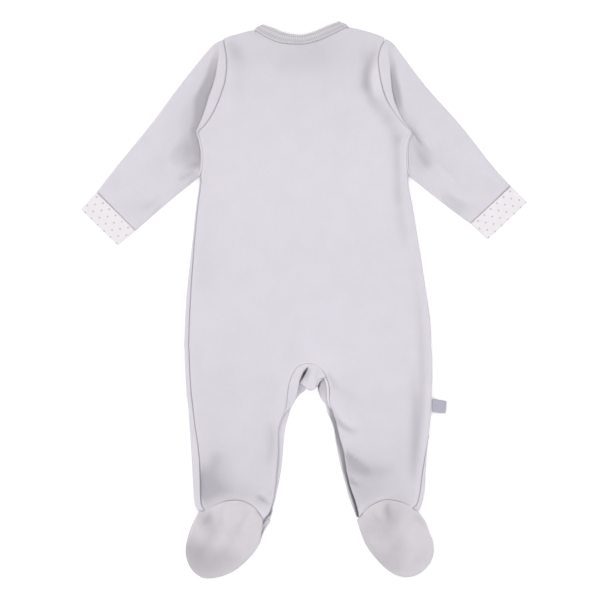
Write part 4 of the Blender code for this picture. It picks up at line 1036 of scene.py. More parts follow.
def arch_run(side, steps=np.linspace(0, ARCH_LAST_LEVEL, 40)):
    """The back's edge round one side of the crotch arch, from its top down."""
    levels = [body_level("legs", t) for t in steps]
    return np.array([(inner[side], inner_y) for _, _, inner_y, inner in levels])


ARCH_RUNS = {side: arch_run(side) for side in (-1, 1)}


def heel_strength(side, x):
    """The heel seam is pulled tight at its inner end, and lies flush at its outer end."""
    return 1 - smooth(side * (x - HEEL_LOOSE_X[side]) / HEEL_LOOSE_FADE)


def back_relief(side, x, y, on_leg):
    """Everything that lifts or sinks the back's face, and the painted shade and painted highlight that go
    with it.
    """
    creased = 0.5 * fold_relief(FOLDS, x, y) + crease_relief(BODY_CREASES, x, y)
    creased += hollow_relief(BODY_HOLLOWS, x, y)
    relief = undulation(x, y)
    heel = distance_to(HEEL_RUNS[side], x, y)
    relief += HEEL_RIDGE * bell(heel - HEEL_RIDGE_PLACE, HEEL_RIDGE_WIDTH) * on_leg
    seams = seam_relief(distance_to(NECK_RUN, x, y), 0.25, 0.0)
    if on_leg:
        seams += heel_strength(side, x) * seam_relief(heel, 0.7, 0.1)
    relief += seams
    # Painted shade in creases, hollows and seams and along the drawn arch seam, and a painted highlight on
    # the rim beside the arch
    pressed = -creased / FULL_SHADE_DEPTH - 0.5 * seams
    for arch_side, name in SIDES:
        arch = distance_to(ARCH_RUNS[arch_side], x, y)
        drawn = table_value(ARCH_SEAMS, name, y)
        rim = bell(arch - 1.3, 0.8) * (1 - smooth((-70.0 - y) / 20.0))
        relief += 0.3 * rim - 0.9 * drawn * bell(arch, 0.7)
        pressed += 1.3 * drawn * bell(arch, 0.65) - 0.2 * rim
    return creased + relief, pressed


def seam_pull(side, y):
    """How tightly the side's seams are drawn in, which sets their roll and their painted shade: less low on
    the right armhole.
    """
    slack = smooth((SLACK_TOP_Y - y) / 14.0) * smooth((y - SLACK_LOW_Y) / 20.0)
    return 1 - SLACK_SHARE * slack if side > 0 else 1.0


def edge_light(side, y, away):
    """The rim of the back that stands clear of the sleeve tucked under it, and catches light."""
    return RIM_LIGHT * under_sleeve(y) * (1 - closing(side, y)) * bell(away - 1.2, 1.0)


def cloth_map(x, y, z, side, inner_x):
    """Cloth coordinates of half a panel: along each level from its inner edge, and up."""
    steps = np.sqrt(np.diff(x, axis=1) ** 2 + np.diff(z, axis=1) ** 2)
    gone = np.concatenate((np.zeros((len(x), 1)), np.cumsum(steps, axis=1)), axis=1)
    return np.stack((inner_x[:, None] + side * gone, y), axis=-1)


def back_patch(part, side, rows):
    """Half the back's upper face, from the feet up, with its cloth coordinates."""
    xs, ys, zs, inner_x, painted_shadings = [], [], [], [], []
    for t in levels_of(part, rows):
        x, y, drop, share = half_level(part, "back", t, side)
        side_y, edge, _, inner = body_level(part, t)
        relief, pressed = (share * value for value in back_relief(side, x, y, part == "legs"))
        z = LAY_HEIGHT + relief - drop
        # Painted shade in the seam at the side's edge, and a painted highlight on the rim over the tucked
        # sleeve
        rim = edge_light(side, side_y, np.abs(x - x[-1]))
        seam_shade = 0.8 * bell(np.hypot(x - x[-1], drop - drop[-1]), 0.55) * (drop < LAY_HEIGHT / 2)
        seam_shade *= seam_pull(side, side_y)
        painted_shadings.append(np.clip(pressed + seam_shade - rim, -1.0, 1.0))
        rolled = seam_relief(np.hypot(x - x[-1], drop - drop[-1]), 0.6, 0.06)
        z += (drop < LAY_HEIGHT / 2) * rolled * seam_pull(side, side_y)
        if part == "legs":
            x, z = hem_tip(side, t, x, z)
        xs.append(x)
        ys.append(y)
        zs.append(z)
        inner_x.append(inner[side])
    x, y, z = np.array(xs), np.array(ys), np.array(zs)
    cloth = cloth_map(x, y, z, side, np.array(inner_x))
    spots, pressed = np.stack((x, y, z), axis=-1), np.array(painted_shadings)
    if part == "torso":
        spots, cloth = add_top_rows(spots, cloth)
        more = np.repeat(pressed[-1:], len(spots) - len(pressed), axis=0)
        pressed = np.concatenate((pressed, more))
    return across(side, spots, cloth, pressed)


def bend_knots(turn, run, radius, length):
    """Distances along a strip of cloth: a place before its bend, the bend in steps, and its end."""
    bent = radius * turn + run
    first = length - max(bent, 5.0)
    steps = lerp(first, length - max(run, 0.6), np.linspace(0, 1, ARC_STEPS + 1))
    return np.concatenate(([0.5 * first], steps, [length - 0.25, length]))


def shoulder_turn(x):
    """The cloth turns right round at the shoulders, and lies flat at the neck."""
    left = smooth((NECK_LEFT[0] + SHOULDER_TURN_START - x) / SHOULDER_TURN_FADE)
    right = smooth((x - NECK_RIGHT[0] + SHOULDER_TURN_START) / SHOULDER_TURN_FADE)
    return math.pi * max(left, right)


def add_top_rows(spots, cloth):
    """Rows beyond the last level: round the shoulders, or flat to the neck seam."""
    columns, maps = [], []
    for (x, y, z), (u, v) in zip(spots[-1], cloth[-1]):
        turn, radius = shoulder_turn(x), z / 2
        run = SHOULDER_RUN * turn / math.pi
        lead = TOP_STRIP - radius * math.sin(min(turn, math.pi / 2))
        length = lead + radius * turn + run
        distance = bend_knots(turn, run, radius, length)
        out, drop = turned(np.maximum(distance - lead, 0.0), turn, radius)
        flat_y = y + np.minimum(distance, lead) + out
        across_x = np.full_like(distance, x)
        rise = z - drop + (1 - turn / math.pi) * seam_relief(np.abs(length - distance), 0.35, 0.0)
        columns.append(np.stack((across_x, flat_y, rise), axis=-1))
        maps.append(np.stack((np.full_like(distance, u), v + distance), axis=-1))
    more = np.stack(columns, axis=1)
    return np.concatenate((spots, more)), np.concatenate((cloth, np.stack(maps, axis=1)))


def across(side, *arrays):
    """Rows run from the left to the right, so a left half's are turned round."""
    return tuple(array[:, ::-1] for array in arrays) if side < 0 else arrays


def front_patch(part, side, rows):
    """Half the front's lower face, from the feet up, with its cloth coordinates."""
    xs, ys, zs, inner_x = [], [], [], []
    for t in levels_of(part, rows):
        side_y, _, inner_y, inner = body_level(part, t)
        lap_end = inner[side] + lap_at(part, inner_y) + 1.0
        x, y, rise, _ = half_level(part, "front", t, side)
        lifted = smooth((lap_end + LIFT_FADE - x) / LIFT_FADE) if side > 0 else 0.0
        z = rise + LAP_RISE * lifted * smooth((y - LIFT_END_Y) / 14.0)
        visible = closing(side, side_y) * (rise > LAY_HEIGHT / 2)
        z = z + visible * seam_relief(np.hypot(x - x[-1], rise - rise[-1]), 0.6, 0.06)
        xs.append(x)
        ys.append(y)
        zs.append(z)
        inner_x.append(inner[side])
    x, y, z = np.array(xs), np.array(ys), np.array(zs)
    cloth = cloth_map(x, y, z, side, np.array(inner_x))
    if part == "torso":
        beyond_neck = np.maximum(NECK_LEFT[0] + NECK_FADE - x[-1], x[-1] - NECK_RIGHT[0] + NECK_FADE)
        short = (SIDE_RADIUS + SHOULDER_RUN + HEEL_SEAM) * smooth(beyond_neck / NECK_FADE)
        x, z = np.vstack((x, x[-1:])), np.vstack((z, z[-1:]))
        y = np.vstack((y, y[-1:] + TOP_STRIP - short))
        more = cloth[-1:] + np.stack((0 * short, TOP_STRIP - short), axis=-1)
        cloth = np.concatenate((cloth, more))
    return across(side, np.stack((x, y, z), axis=-1), cloth)


# ------------------------------------------------------------------ sleeves


def armhole_run(side):
    """The sleeve's root: the shoulder tip, the back's edge level by level, and its low end."""
    top, low, _ = SLEEVES[side]
    points = [(top[0][0] + side * SEAM, top[0][1])]
    for t in np.linspace(0, len(TORSO) - 1, BACK_TORSO_ROWS + 1):
        side_y, edge, _, _ = body_level("torso", t)
        y = side_y
        if under_sleeve(side_y) == 0.0:
            y = half_level("torso", "back", t, side)[1][-1]
        if y < low[0][1] + LOW_END_CLEARANCE:
            break
        points.append((edge[side] + side * lerp(SEAM, ROOT_GAP, under_sleeve(side_y)), y))
    points.append((low[0][0] + side * ROOT_GAP, low[0][1]))
    return np.array(points)


def pleat_at(side, y):
    """How far the folded cloth stands out beside the armhole, and how far it drops."""
    out, drop = (table_value(PLEATS, SIDE_NAMES[side] + end, y) for end in ("_out", "_drop"))
    return (out + np.interp(y, *np.transpose(FOLD_MOVES)) if side > 0 else out), drop


def clear_of_ends(share, margin):
    """Shares of a line kept a margin away from its ends, where the edges bend."""
    kept = lerp(margin, 1 - margin, share)
    return np.where((share == 0.0) | (share == 1.0), share, kept)


def sleeve_plan(side):
    """Lines across the sleeve from armhole to cuff with their kinds, and three that it needs.

    Those are the shares of the armhole's length, the armhole's line, and the line
    just beyond the fold.
    """
    root = armhole_run(side)
    shares = lengths_of(root) / lengths_of(root)[-1]
    top, low = run_of(SLEEVES[side][0]), run_of(SLEEVES[side][1])
    clearance = SLEEVE_HEIGHT / 2 + EDGE_CLEARANCE
    fold_top, fold_low = along(top, FOLD_SHARE), root[-1]
    drops = (root[0, 1] - root[:, 1]) / (root[0, 1] - fold_low[1])
    margin = clearance / np.linalg.norm(fold_top - fold_low)
    y = lerp(fold_top[1], fold_low[1], clear_of_ends(drops, margin))
    folded = np.stack((x_on(root, y) + side * pleat_at(side, y)[0], y), axis=-1)
    below = folded + np.array((side * PLEAT_STEP, 0.0))
    folded[0], below[0] = fold_top, along(top, BELOW_SHARE)
    margin = clearance / np.linalg.norm(top[-1] - low[-1])
    cuff = lerp(top[-1], low[-1], clear_of_ends(shares, margin)[:, None])
    scale = np.clip(pleat_at(side, folded[:, 1])[0] / FULL_FOLD_REACH, 0.1, 1.0)
    scale[[0, -1]] = 0.05
    outwards = np.array((side, 0.0)) * scale[:, None]
    flat_end = folded + FOLD_PROFILE[0][0] * outwards
    lines = [("root", step, lerp(root, flat_end, step)) for step in ROOT_STEPS]
    lines += [("fold", drop, folded + out * outwards) for out, drop in FOLD_PROFILE]
    lines.append(("sleeve", 0.0, below))
    for step in np.arange(1, SLEEVE_ROWS + 1) / SLEEVE_ROWS:
        s = step * (1 - SLEEVE_CROWDING + SLEEVE_CROWDING * step)
        high, deep = along(top, lerp(BELOW_SHARE, 1.0, s)), along(low, s)
        edge = lerp(high, deep, shares[:, None])
        chord = lerp(lerp(below[0], top[-1], s), lerp(below[-1], low[-1], s), shares[:, None])
        lines.append(("sleeve", step, lerp(below, cuff, s) + edge - chord))
    return lines, shares, root, below


def sleeve_heights(side, kind, step, line, root, below):
    """A sleeve line's heights, level with the body at the armhole, and the painted shade on it."""
    y = root[:, 1]
    seam_height = LAY_HEIGHT + 0.5 * fold_relief(FOLDS, root[:, 0] - side * SEAM, y)
    start = lerp(seam_height, LAY_HEIGHT - ROOT_DROP, tucked_at(y))
    if kind == "root":
        out = np.linalg.norm(line - root, axis=1)
        pull = (1 - tucked_at(y)) * seam_pull(side, y)
        return start + pull * seam_relief(out, 0.7, 0.1), 0.6 * pull * bell(out, 0.5)
    x, y = line[:, 0], line[:, 1]
    columns = (SIDE_NAMES[side] + end for end in ("_floor", "_slope", "_press"))
    floor, slope, sink_and_shade = (table_value(VALLEYS, column, y) for column in columns)
    drop = pleat_at(side, y)[1] * (1 - tucked_at(y)) * VALLEY_DEPTH * np.minimum(sink_and_shade, 1.0)
    if kind == "fold":
        return start - drop * step, sink_and_shade * step
    away = np.maximum(side * (x - x_on(below, y)), 0.0)
    settled = smooth(away / (floor + slope))
    creased = fold_relief(SLEEVE_FOLDS + SLEEVE_SWELLS, x, y) + crease_relief(SLEEVE_CREASES, x, y)
    creased = creased * smooth(step * 4) + hollow_relief(SLEEVE_HOLLOWS, x, y)
    waves = undulation(x, y) * smooth(step * 4)
    # Painted shade in the fold's valley, creases and hollows, and painted shadow low beside the body
    pressed = sink_and_shade * (1 - smooth((away - floor) / slope)) + np.clip(-creased / FULL_SHADE_DEPTH, 0.0, 1.0)
    pressed = np.clip(pressed, 0.0, 1.0) - crease_relief(SLEEVE_SHADOWS, x, y)
    return lerp(start - drop, SLEEVE_HEIGHT, settled) + creased + waves, np.clip(pressed, 0.0, 2.0)


def tube_ring(line, high, low):
    """A closed ring round a flat tube: over the line of places, and back under it."""
    edges = []
    for end, other, top, bottom in ((line[0], line[1], high[1], low), (line[-1], line[-2], high[-2], low)):
        radius = (top - bottom) / 2
        inward = (other - end) / np.linalg.norm(other - end)
        angle = math.pi * np.linspace(0, 1, ARC_STEPS + 1)
        spot = end + inward * radius * (1 - np.sin(angle))[:, None]
        edges.append(np.column_stack((spot, bottom + radius * (1 - np.cos(angle)))))
    upper = np.column_stack((line[1:-1], high[1:-1]))
    lower = np.column_stack((line[1:-1], np.full(len(line) - 2, low)))
    return np.concatenate((edges[0], upper, edges[1][::-1], lower[::-1], edges[0][:1]))


def ring_values(high):
    """Values for the places of a ring: those of its upper line, and 0 underneath."""
    ramp = np.minimum(np.linspace(0.0, 2.0, ARC_STEPS + 1), 1.0)
    return np.concatenate((ramp * high[1], high[1:-1], (ramp * high[-2])[::-1], 0 * high[1:-1], [0.0]))


def cloth_steps(spots, column):
    """How far each place of a grid lies along its row, and its row lies down a column."""
    steps = np.linalg.norm(np.diff(spots, axis=1), axis=2)
    over = np.concatenate((np.zeros((len(spots), 1)), np.cumsum(steps, axis=1)), axis=1)
    return over, np.broadcast_to(lengths_of(spots[:, column])[:, None], over.shape)


def tube_patch(rings):
    """The rings of a tube and their cloth coordinates: round it and along it."""
    spots = np.array(rings)
    around, down = cloth_steps(spots, spots.shape[1] // 4)
    return spots, np.stack((around - around[:, -1:] / 2, down), axis=-1)


def sleeve_patch(side):
    """A sleeve as a flat tube, folded under itself beside its armhole."""
    lines, _, root, below = sleeve_plan(side)
    rings, painted_shadings = [], []
    for kind, step, line in lines:
        high, pressed = sleeve_heights(side, kind, step, line, root, below)
        rings.append(tube_ring(line, high, 0.0))
        painted_shadings.append(ring_values(pressed))
    return *tube_patch(rings), np.array(painted_shadings)


def cuff_ring(start, end, share, inset):
    """A ring of the cuff between its sleeve seam and the wrist, drawn in by an inset."""
    line = lerp(start, end, share)
    inward = (line[-1] - line[0]) / np.linalg.norm(line[-1] - line[0])
    line = line.copy()
    line[0] = line[0] + inward * inset
    line[-1] = line[-1] - inward * inset
    high = CUFF_HEIGHT - inset + 0.12 * np.sin(0.31 * line[:, 0] + 0.23 * line[:, 1]) * (inset == 0.0)
    return tube_ring(line, high, inset)


def cuff_patch(side):
    """A cuff: out from the sleeve's seam, round its lip at the wrist, and turned back inside."""
    lines, shares, _, _ = sleeve_plan(side)
    seam, wrist = lines[-1][2], np.array(SLEEVES[side][2])
    away = wrist.mean(axis=0) - (seam[0] + seam[-1]) / 2
    away = away / np.linalg.norm(away)
    margin = (CUFF_HEIGHT / 2 + CUFF_CLEARANCE) / np.linalg.norm(seam[0] - seam[-1])
    kept = clear_of_ends(shares, margin)[:, None]
    start = lerp(seam[0], seam[-1], kept) + away * CUFF_GAP
    end = lerp(wrist[0], wrist[1], kept)
    length = np.linalg.norm((end - start)[len(end) // 2])
    lip, back_lip = CUFF_LIP, CUFF_BACK_LIP
    steps = [
        (back_lip * (1 - math.cos(a)) / length, back_lip * (1 - math.sin(a)))
        for a in np.linspace(0, math.pi / 2, 6)
    ]
    steps += [(s, 0.0) for s in np.linspace(back_lip / length, 1 - lip / length, 22)[1:]]
    steps += [
        (1 - (lip - lip * math.sin(a)) / length, lip * (1 - math.cos(a)))
        for a in np.linspace(0, math.pi, 13)[1:]
    ]
    steps += [(s, 2 * lip) for s in np.linspace(1 - lip / length, 1 - CUFF_TURNED_IN / length, 8)[1:]]
    return tube_patch([cuff_ring(start, end, share, inset) for share, inset in steps])


# ------------------------------------------------------------------ feet


def outline_reach(outline, centre, angle):
    """How far a closed outline lies from its centre, in many directions."""
    direction = np.stack((np.cos(angle), np.sin(angle)), axis=-1)
    reach = np.full(angle.shape, np.inf)
    for p, q in zip(outline, np.roll(outline, -1, axis=0)):
        edge, start = q - p, p - centre
        cross = direction[..., 0] * edge[1] - direction[..., 1] * edge[0]
        cross = np.where(np.abs(cross) < 1e-9, 1e-9, cross)
        far = (start[0] * edge[1] - start[1] * edge[0]) / cross
        share = (start[0] * direction[..., 1] - start[1] * direction[..., 0]) / cross
        hit = (far > 0) & (share >= -1e-6) & (share <= 1 + 1e-6)
        reach = np.where(hit & (far < reach), far, reach)
    return reach, direction


def disc_grid(outline, centre):
    """Ring number, rim spot, reach and direction for each place of a round sheet."""
    j, i = np.mgrid[-FOOT_RINGS : FOOT_RINGS + 1, -FOOT_RINGS : FOOT_RINGS + 1].astype(float)
    ring = np.maximum(np.abs(i), np.abs(j))
    with np.errstate(divide="ignore", invalid="ignore"):
        flat = math.pi / 4 * j / i + np.where(i < 0, math.pi, 0.0)
        steep = math.pi / 2 - math.pi / 4 * i / j + np.where(j < 0, math.pi, 0.0)
    angle = np.where(ring == 0, 0.0, np.where(np.abs(i) >= np.abs(j), flat, steep))
    reach, direction = outline_reach(outline, centre, angle)
    return ring, centre + direction * reach[..., None], reach, direction


def rim_place(ring, reach, turn, radius):
    """Distance from the centre and drop, for a sheet whose edge strip turns down."""
    length = radius * math.pi / 2 + RIM_RUN
    bend = reach - turned(length, turn, radius)[0]
    step = np.maximum(ring - (FOOT_RINGS - RIM_RINGS), 0)
    distance = np.where(step == RIM_RINGS, length, radius * math.pi / 2 * step / (RIM_RINGS - 1))
    out, drop = turned(distance, turn, radius)
    inner = bend * ring / (FOOT_RINGS - RIM_RINGS)
    return np.where(step == 0, inner, bend + out), np.where(step == 0, 0.0, drop)


def swollen(outline, side, amount):
    """A foot's outline, pushed out below the left foot's inner ankle."""
    if side > 0:
        return outline
    away = outline - FOOT_MIDDLES[side]
    push = amount * bell(np.hypot(*(outline - SWELL_MIDDLE).T), SWELL_WIDTH)
    return outline + away / np.linalg.norm(away, axis=1, keepdims=True) * push[:, None]


def toe_patch(side):
    """The flat top of a foot, which lies underneath, with its rim turned up round the toe."""
    middle = FOOT_MIDDLES[side]
    outline = swollen(run_of(UPPERS[side]), side, TOE_SWELL)
    ring, spot, reach, direction = disc_grid(outline, middle)
    turn = math.pi / 2 * smooth((TOE_TURN_Y - spot[..., 1]) / TOE_TURN_FADE)
    far, rise = rim_place(ring, reach, turn, UPPER_RADIUS)
    place = middle + direction * far[..., None]
    # Painted shadow along the tuck at the ankle
    tuck_shadow = 1.7 * bell(distance_to(ANKLE_SHADOW_LINE, place[..., 0], place[..., 1]), 0.9)
    return np.dstack((place, rise)), place, tuck_shadow


def sole_patch(side):
    """The domed sole of a foot, joined to the heel arc and rolled down round its free edge."""
    middle, heel = FOOT_MIDDLES[side], HEEL_RUNS[side]
    outline = np.concatenate((heel, swollen(run_of(SOLES[side]), side, SOLE_SWELL)))
    ring, spot, reach, direction = disc_grid(outline, middle)
    on_arc = spot[..., 1] > y_on(heel, spot[..., 0]) - ARC_REACH
    on_arc &= (spot[..., 0] > heel[0, 0]) & (spot[..., 0] < heel[-1, 0])
    from_end = np.minimum(spot[..., 0] - heel[0, 0], heel[-1, 0] - spot[..., 0])
    joined = np.where(on_arc, smooth(from_end / JOIN_WIDTH), 0.0)
    rim = lerp(SOLE_EDGE_LOW + SOLE_RADIUS + RIM_RUN, LAY_HEIGHT, joined)
    far, drop = rim_place(ring, reach, math.pi / 2 * (1 - joined), SOLE_RADIUS)
    place = middle + direction * far[..., None]
    share = np.minimum(far / np.maximum(reach, 1e-6), 1.0)
    dome = (SOLE_HEIGHT - rim) * (1 - share**3) * (1 - share**12)
    x, y = place[..., 0], place[..., 1]
    seam = distance_to(heel, x, y)
    relief = crease_relief(FOOT_CREASES, x, y) + 2.2 * undulation(1.7 * x, 1.7 * y) * (1 - share**6)
    relief += hollow_relief(FOOT_HOLLOWS, x, y)
    # Painted shade in the sole's creases and hollows
    pressed = np.clip(-relief / FULL_SHADE_DEPTH, 0.0, 1.0)
    relief += heel_strength(side, x) * seam_relief(seam, 0.7, 0.2) * (share > 0.5) * joined
    return np.dstack((place, rim + dome - drop + relief * (1 - share**30))), place, pressed


# ------------------------------------------------------------------ bands


def strip_map(spots):
    """Cloth coordinates of a strip: along it, and across it."""
    over, down = cloth_steps(spots, spots.shape[1] // 2)
    return np.stack((down, over), axis=-1)


def band_patch(seam, free, normal, thick, lip, columns, crown, rib=(0.0, 1.0)):
    """A folded band of cloth as one closed form round its section, with closed ends.

    seam and free are lines of places on its outer face, normal its outward direction,
    and rib the depth and pitch of its grooves.
    """
    out = free - seam
    width = np.linalg.norm(out, axis=1, keepdims=True)
    out = out / width
    turn = np.linspace(0, math.pi, 9)[1:-1]
    share = np.linspace(0, 1, columns + 1)
    gone = lengths_of(lerp(seam, free, 0.5))
    depth, pitch = rib
    groove = depth * (0.5 + 0.5 * np.cos(2 * np.pi * gone / pitch)) ** 2
    fade = np.clip(4 * np.minimum(share, 1 - share), 0.0, 1.0)
    rows = []
    for k in range(len(seam)):
        flat = max(width[k, 0] - lip - 0.5, 0.2)
        face = -crown * np.sin(np.pi * share) + groove[k] * fade
        section = [(away, down * thick) for away, down in BAND_START]
        section += [(0.5 + flat * s, f) for s, f in zip(share, face)]
        section += [(0.5 + flat + lip * math.sin(a), 0.5 * thick * (1 - math.cos(a))) for a in turn]
        section += [(0.5 + flat * s, thick - f) for s, f in zip(share[::-1], face[::-1])]
        section += [(away, (1 - down) * thick) for away, down in BAND_START[::-1]]
        rows.append([seam[k] + out[k] * away - normal[k] * down for away, down in section])
    rows = np.array(rows)
    ends = []
    for row, up in ((rows[0], normal[0]), (rows[-1], normal[-1])):
        down = ((row - row[0]) @ up)[:, None] * up
        ends.append((row - down)[None])
    return np.concatenate((ends[0], rows, ends[1]))


def between_lines(top, low, left, right, rows, columns):
    """A grid of places between four lines that meet at their ends."""
    v, u = np.mgrid[0 : 1 : complex(rows + 1), 0 : 1 : complex(columns + 1)][..., None]
    down, over = np.linspace(0, 1, rows + 1), np.linspace(0, 1, columns + 1)
    left_line, right_line = along(left, down)[:, None], along(right, down)[:, None]
    top_line, low_line = along(top, over)[None], along(low, over)[None]
    corners = lerp(lerp(top[0], top[-1], u), lerp(low[0], low[-1], u), v)
    return lerp(top_line, low_line, v) + lerp(left_line, right_line, u) - corners


def upright(count):
    return np.broadcast_to(np.array((0.0, 0.0, 1.0)), (count, 3))


def raised(run, z):
    """A run in plan at a height, or at a height for each of its places."""
    return np.column_stack((run, np.broadcast_to(z, len(run))))


def arch_top(run):
    """The tongue's top line, laid a hair inside the back's arch."""
    arch = np.concatenate((ARCH_RUNS[-1][::-1], ARCH_RUNS[1][1:]))
    top = np.column_stack((run[:, 0], y_on(arch, run[:, 0]) - ARCH_HAIR))
    return np.concatenate((top[:-1], run[-1:]))


def facing_patch():
    """The facing that is sewn round the inside of the back's crotch arch."""
    seams, frees = {}, {}
    for side, table in ((-1, FACING_FREE_LEFT), (1, FACING_FREE_RIGHT)):
        steps = np.linspace(0, FACING_LAST_LEVELS[side], FACING_ROWS)
        seam = arch_run(side, steps)
        inward = ARCH_MIDDLE - seam
        seams[side] = seam + inward / np.linalg.norm(inward, axis=1, keepdims=True) * FACING_GAP
        frees[side] = np.array([spline(table, t) for t in steps])
    seam, free = (np.concatenate((lines[-1][::-1], lines[1][1:])) for lines in (seams, frees))
    covered = smooth((seam[:, 0] - FACING_COVER_X) / 2.5) * smooth((seam[:, 1] - FACING_COVER_Y) / 6.0)
    high = lerp(LAY_HEIGHT - 0.2, COVERED_HEIGHT, covered)
    lines = raised(seam, high), raised(free, high - 0.2)
    shape = FACING_THICKNESS, FACING_LIP, FACING_COLUMNS, FACING_CROWN
    spots = band_patch(*lines, upright(len(seam)), *shape)
    lit = FACING_LIGHT * np.concatenate(([0.0], smooth((seam[:, 0] - FACING_LIGHT_X) / 5.0), [0.0]))
    return spots, strip_map(spots), np.broadcast_to(lit[:, None], spots.shape[:2])


def sink_slot(spots, free, starts, deep):
    """Sinks the upper face of a leg band inside its rim, and gives each place its painted shadow, shade and
    highlight.
    """
    upper = slice(3, 4 + BAND_COLUMNS)
    face = spots[1:-1, upper]
    away = np.linalg.norm(face[..., :2] - free[:, None, :2], axis=-1)
    inside = smooth((away - starts[:, None]) / SLOT_SOFTNESS)
    crease = crease_relief(BAND_CREASES, face[..., 0], face[..., 1])
    crease += hollow_relief(BAND_HOLLOWS, face[..., 0], face[..., 1])
    down = np.clip(deep, 0.0, 1.0)[:, None]
    face[..., 2] += 0.6 * down * bell(away - 0.9, 0.8) - down * inside + 0.4 * crease
    pressed = np.zeros(spots.shape[:2])
    shadow_deepening = 0.8 + 0.3 * smooth((away - starts[:, None]) / 3.5)
    pressed[1:-1, upper] = np.clip(inside * shadow_deepening * deep[:, None] - crease, -1.0, 2.0)
    return pressed


def leg_band_patch(side, thick):
    """The folded band on the front's inner leg edge, with the slot beside the back's edge."""
    name = SIDE_NAMES[side]
    seam, free, starts, deep = [], [], [], []
    for t in np.linspace(0, len(LEGS) - 1, BAND_ROWS):
        _, _, y, inner = body_level("legs", t)
        x, y = front_inner("legs", t, side, inner[side], y)
        y = max(y - SEAM * (1 - smooth((t - 1) / 2)), ankle_y(side, x))
        seam.append((x - side * SEAM * smooth(t / 2), y))
        band = Inseam(*spline(INSEAM, t))
        free_x, free_y = (band.left_x, band.left_y) if side < 0 else (band.right_x, band.right_y)
        free.append((free_x + moved(name + "_band", free_y), free_y))
        slot = table_value(SLOTS, name + "_width", y)
        starts.append(max(abs(free[-1][0] - inner[side]) - slot, 0.8))
        deep.append(table_value(SLOTS, name + "_depth", y))
    seam, free = raised(np.array(seam), thick), raised(np.array(free), thick)
    spots = band_patch(seam, free, upright(len(seam)), thick, BAND_LIP, BAND_COLUMNS, BAND_CROWN)
    pressed = sink_slot(spots, free, np.array(starts), np.array(deep))
    return spots, strip_map(spots), pressed


def tongue_patch():
    """The rounded tongue that hangs in the arch, creased beside its left edge."""
    lines = [run_of(line) for line in (TONGUE_TOP, TONGUE_LOW, TONGUE_LEFT, TONGUE_RIGHT)]
    lines[0] = arch_top(lines[0])
    place = between_lines(*lines, TONGUE_ROWS, TONGUE_COLUMNS)
    x, y = place[..., 0], place[..., 1]
    edge = np.minimum.reduce([distance_to(line, x, y) for line in lines[1:]])
    hang, loose = smooth((TONGUE_HANG_Y - y) / 14.0), smooth((TONGUE_LOOSE_Y - y) / 4.0)
    z = LAY_HEIGHT - 0.1 - 0.7 * hang + 0.35 * smooth(edge / 5.0) * hang - 0.8 * bell(edge, 0.7) * loose
    folded = crease_relief(TONGUE_CREASES, x, y)
    # Painted shade beside the loose left edge, and painted shade and highlight in the creases
    pressed = 0.5 * bell(distance_to(lines[2], x, y), 2.4) * loose - folded / FULL_SHADE_DEPTH
    return np.dstack((place, z + 0.5 * folded)), place, pressed


def binding_lines():
    """The binding's seam and free lines and its outward direction, all round the neck."""
    front_seam, front_free = run_of(FRONT_NECK), run_of(BINDING_FRONT_FREE)
    back_seam, back_free = NECK_RUN, run_of(risen(BINDING_BACK_FREE))
    radius = BINDING_HEIGHT / 2
    seams, frees, normals = [], [], []

    def add(seam, free, z, normal):
        off = (free - seam) / np.linalg.norm(free - seam)
        gap = lerp(FRONT_NECK_SEAM, 0.1, z / BINDING_HEIGHT)
        seams.append((*(seam + off * gap), z))
        frees.append((*free, z))
        normals.append(normal)

    def fold(seam, free, outward, angles):
        for angle in angles:
            out = np.array(outward) * SHOULDER_REACH * math.sin(angle)
            normal = (outward[0] * math.sin(angle), outward[1] * math.sin(angle), -math.cos(angle))
            add(seam + out, free + out, radius * (1 - math.cos(angle)), normal)

    angles = np.linspace(0, math.pi, 15)[1:-1]
    for s in np.linspace(0.5, 0.0, FRONT_BINDING_ROWS):
        add(along(front_seam, s), along(front_free, s), 0.0, (0.0, 0.0, -1.0))
    fold(back_seam[0], back_free[0], FOLD_LEFT, angles)
    for s in np.linspace(0.0, 1.0, BACK_BINDING_ROWS):
        add(along(back_seam, s), along(back_free, s), BINDING_HEIGHT, (0.0, 0.0, 1.0))
    fold(back_seam[-1], back_free[-1], FOLD_RIGHT, angles[::-1])
    for s in np.linspace(1.0, 0.5, FRONT_BINDING_ROWS):
        add(along(front_seam, s), along(front_free, s), 0.0, (0.0, 0.0, -1.0))
    normals = np.array(normals, float)
    return np.array(seams), np.array(frees), normals / np.linalg.norm(normals, axis=1, keepdims=True)


def neck_patch(thick, rib, stitch):
    """The folded rib that binds the neck, with painted shade along its rows of stitches."""
    seam, free, normal = binding_lines()
    shape = thick, BINDING_LIP, NECK_COLUMNS, BINDING_CROWN, (RIB_DEPTH, rib)
    spots = band_patch(seam, free, normal, *shape)
    share = np.linspace(0, 1, NECK_COLUMNS + 1)
    pressed = np.zeros(spots.shape[:2])
    # Painted shade along each row of stitches, rising and falling with the stitch pitch
    for row in STITCH_ROWS:
        gone = lengths_of(lerp(seam, free, row))
        stitch_shade = 0.5 + 0.5 * np.cos(2 * np.pi * gone / stitch)
        pressed[1:-1, 3 : 4 + NECK_COLUMNS] += bell(share - row, 0.06) * (0.3 + 0.9 * stitch_shade[:, None])
    return spots, strip_map(spots), pressed


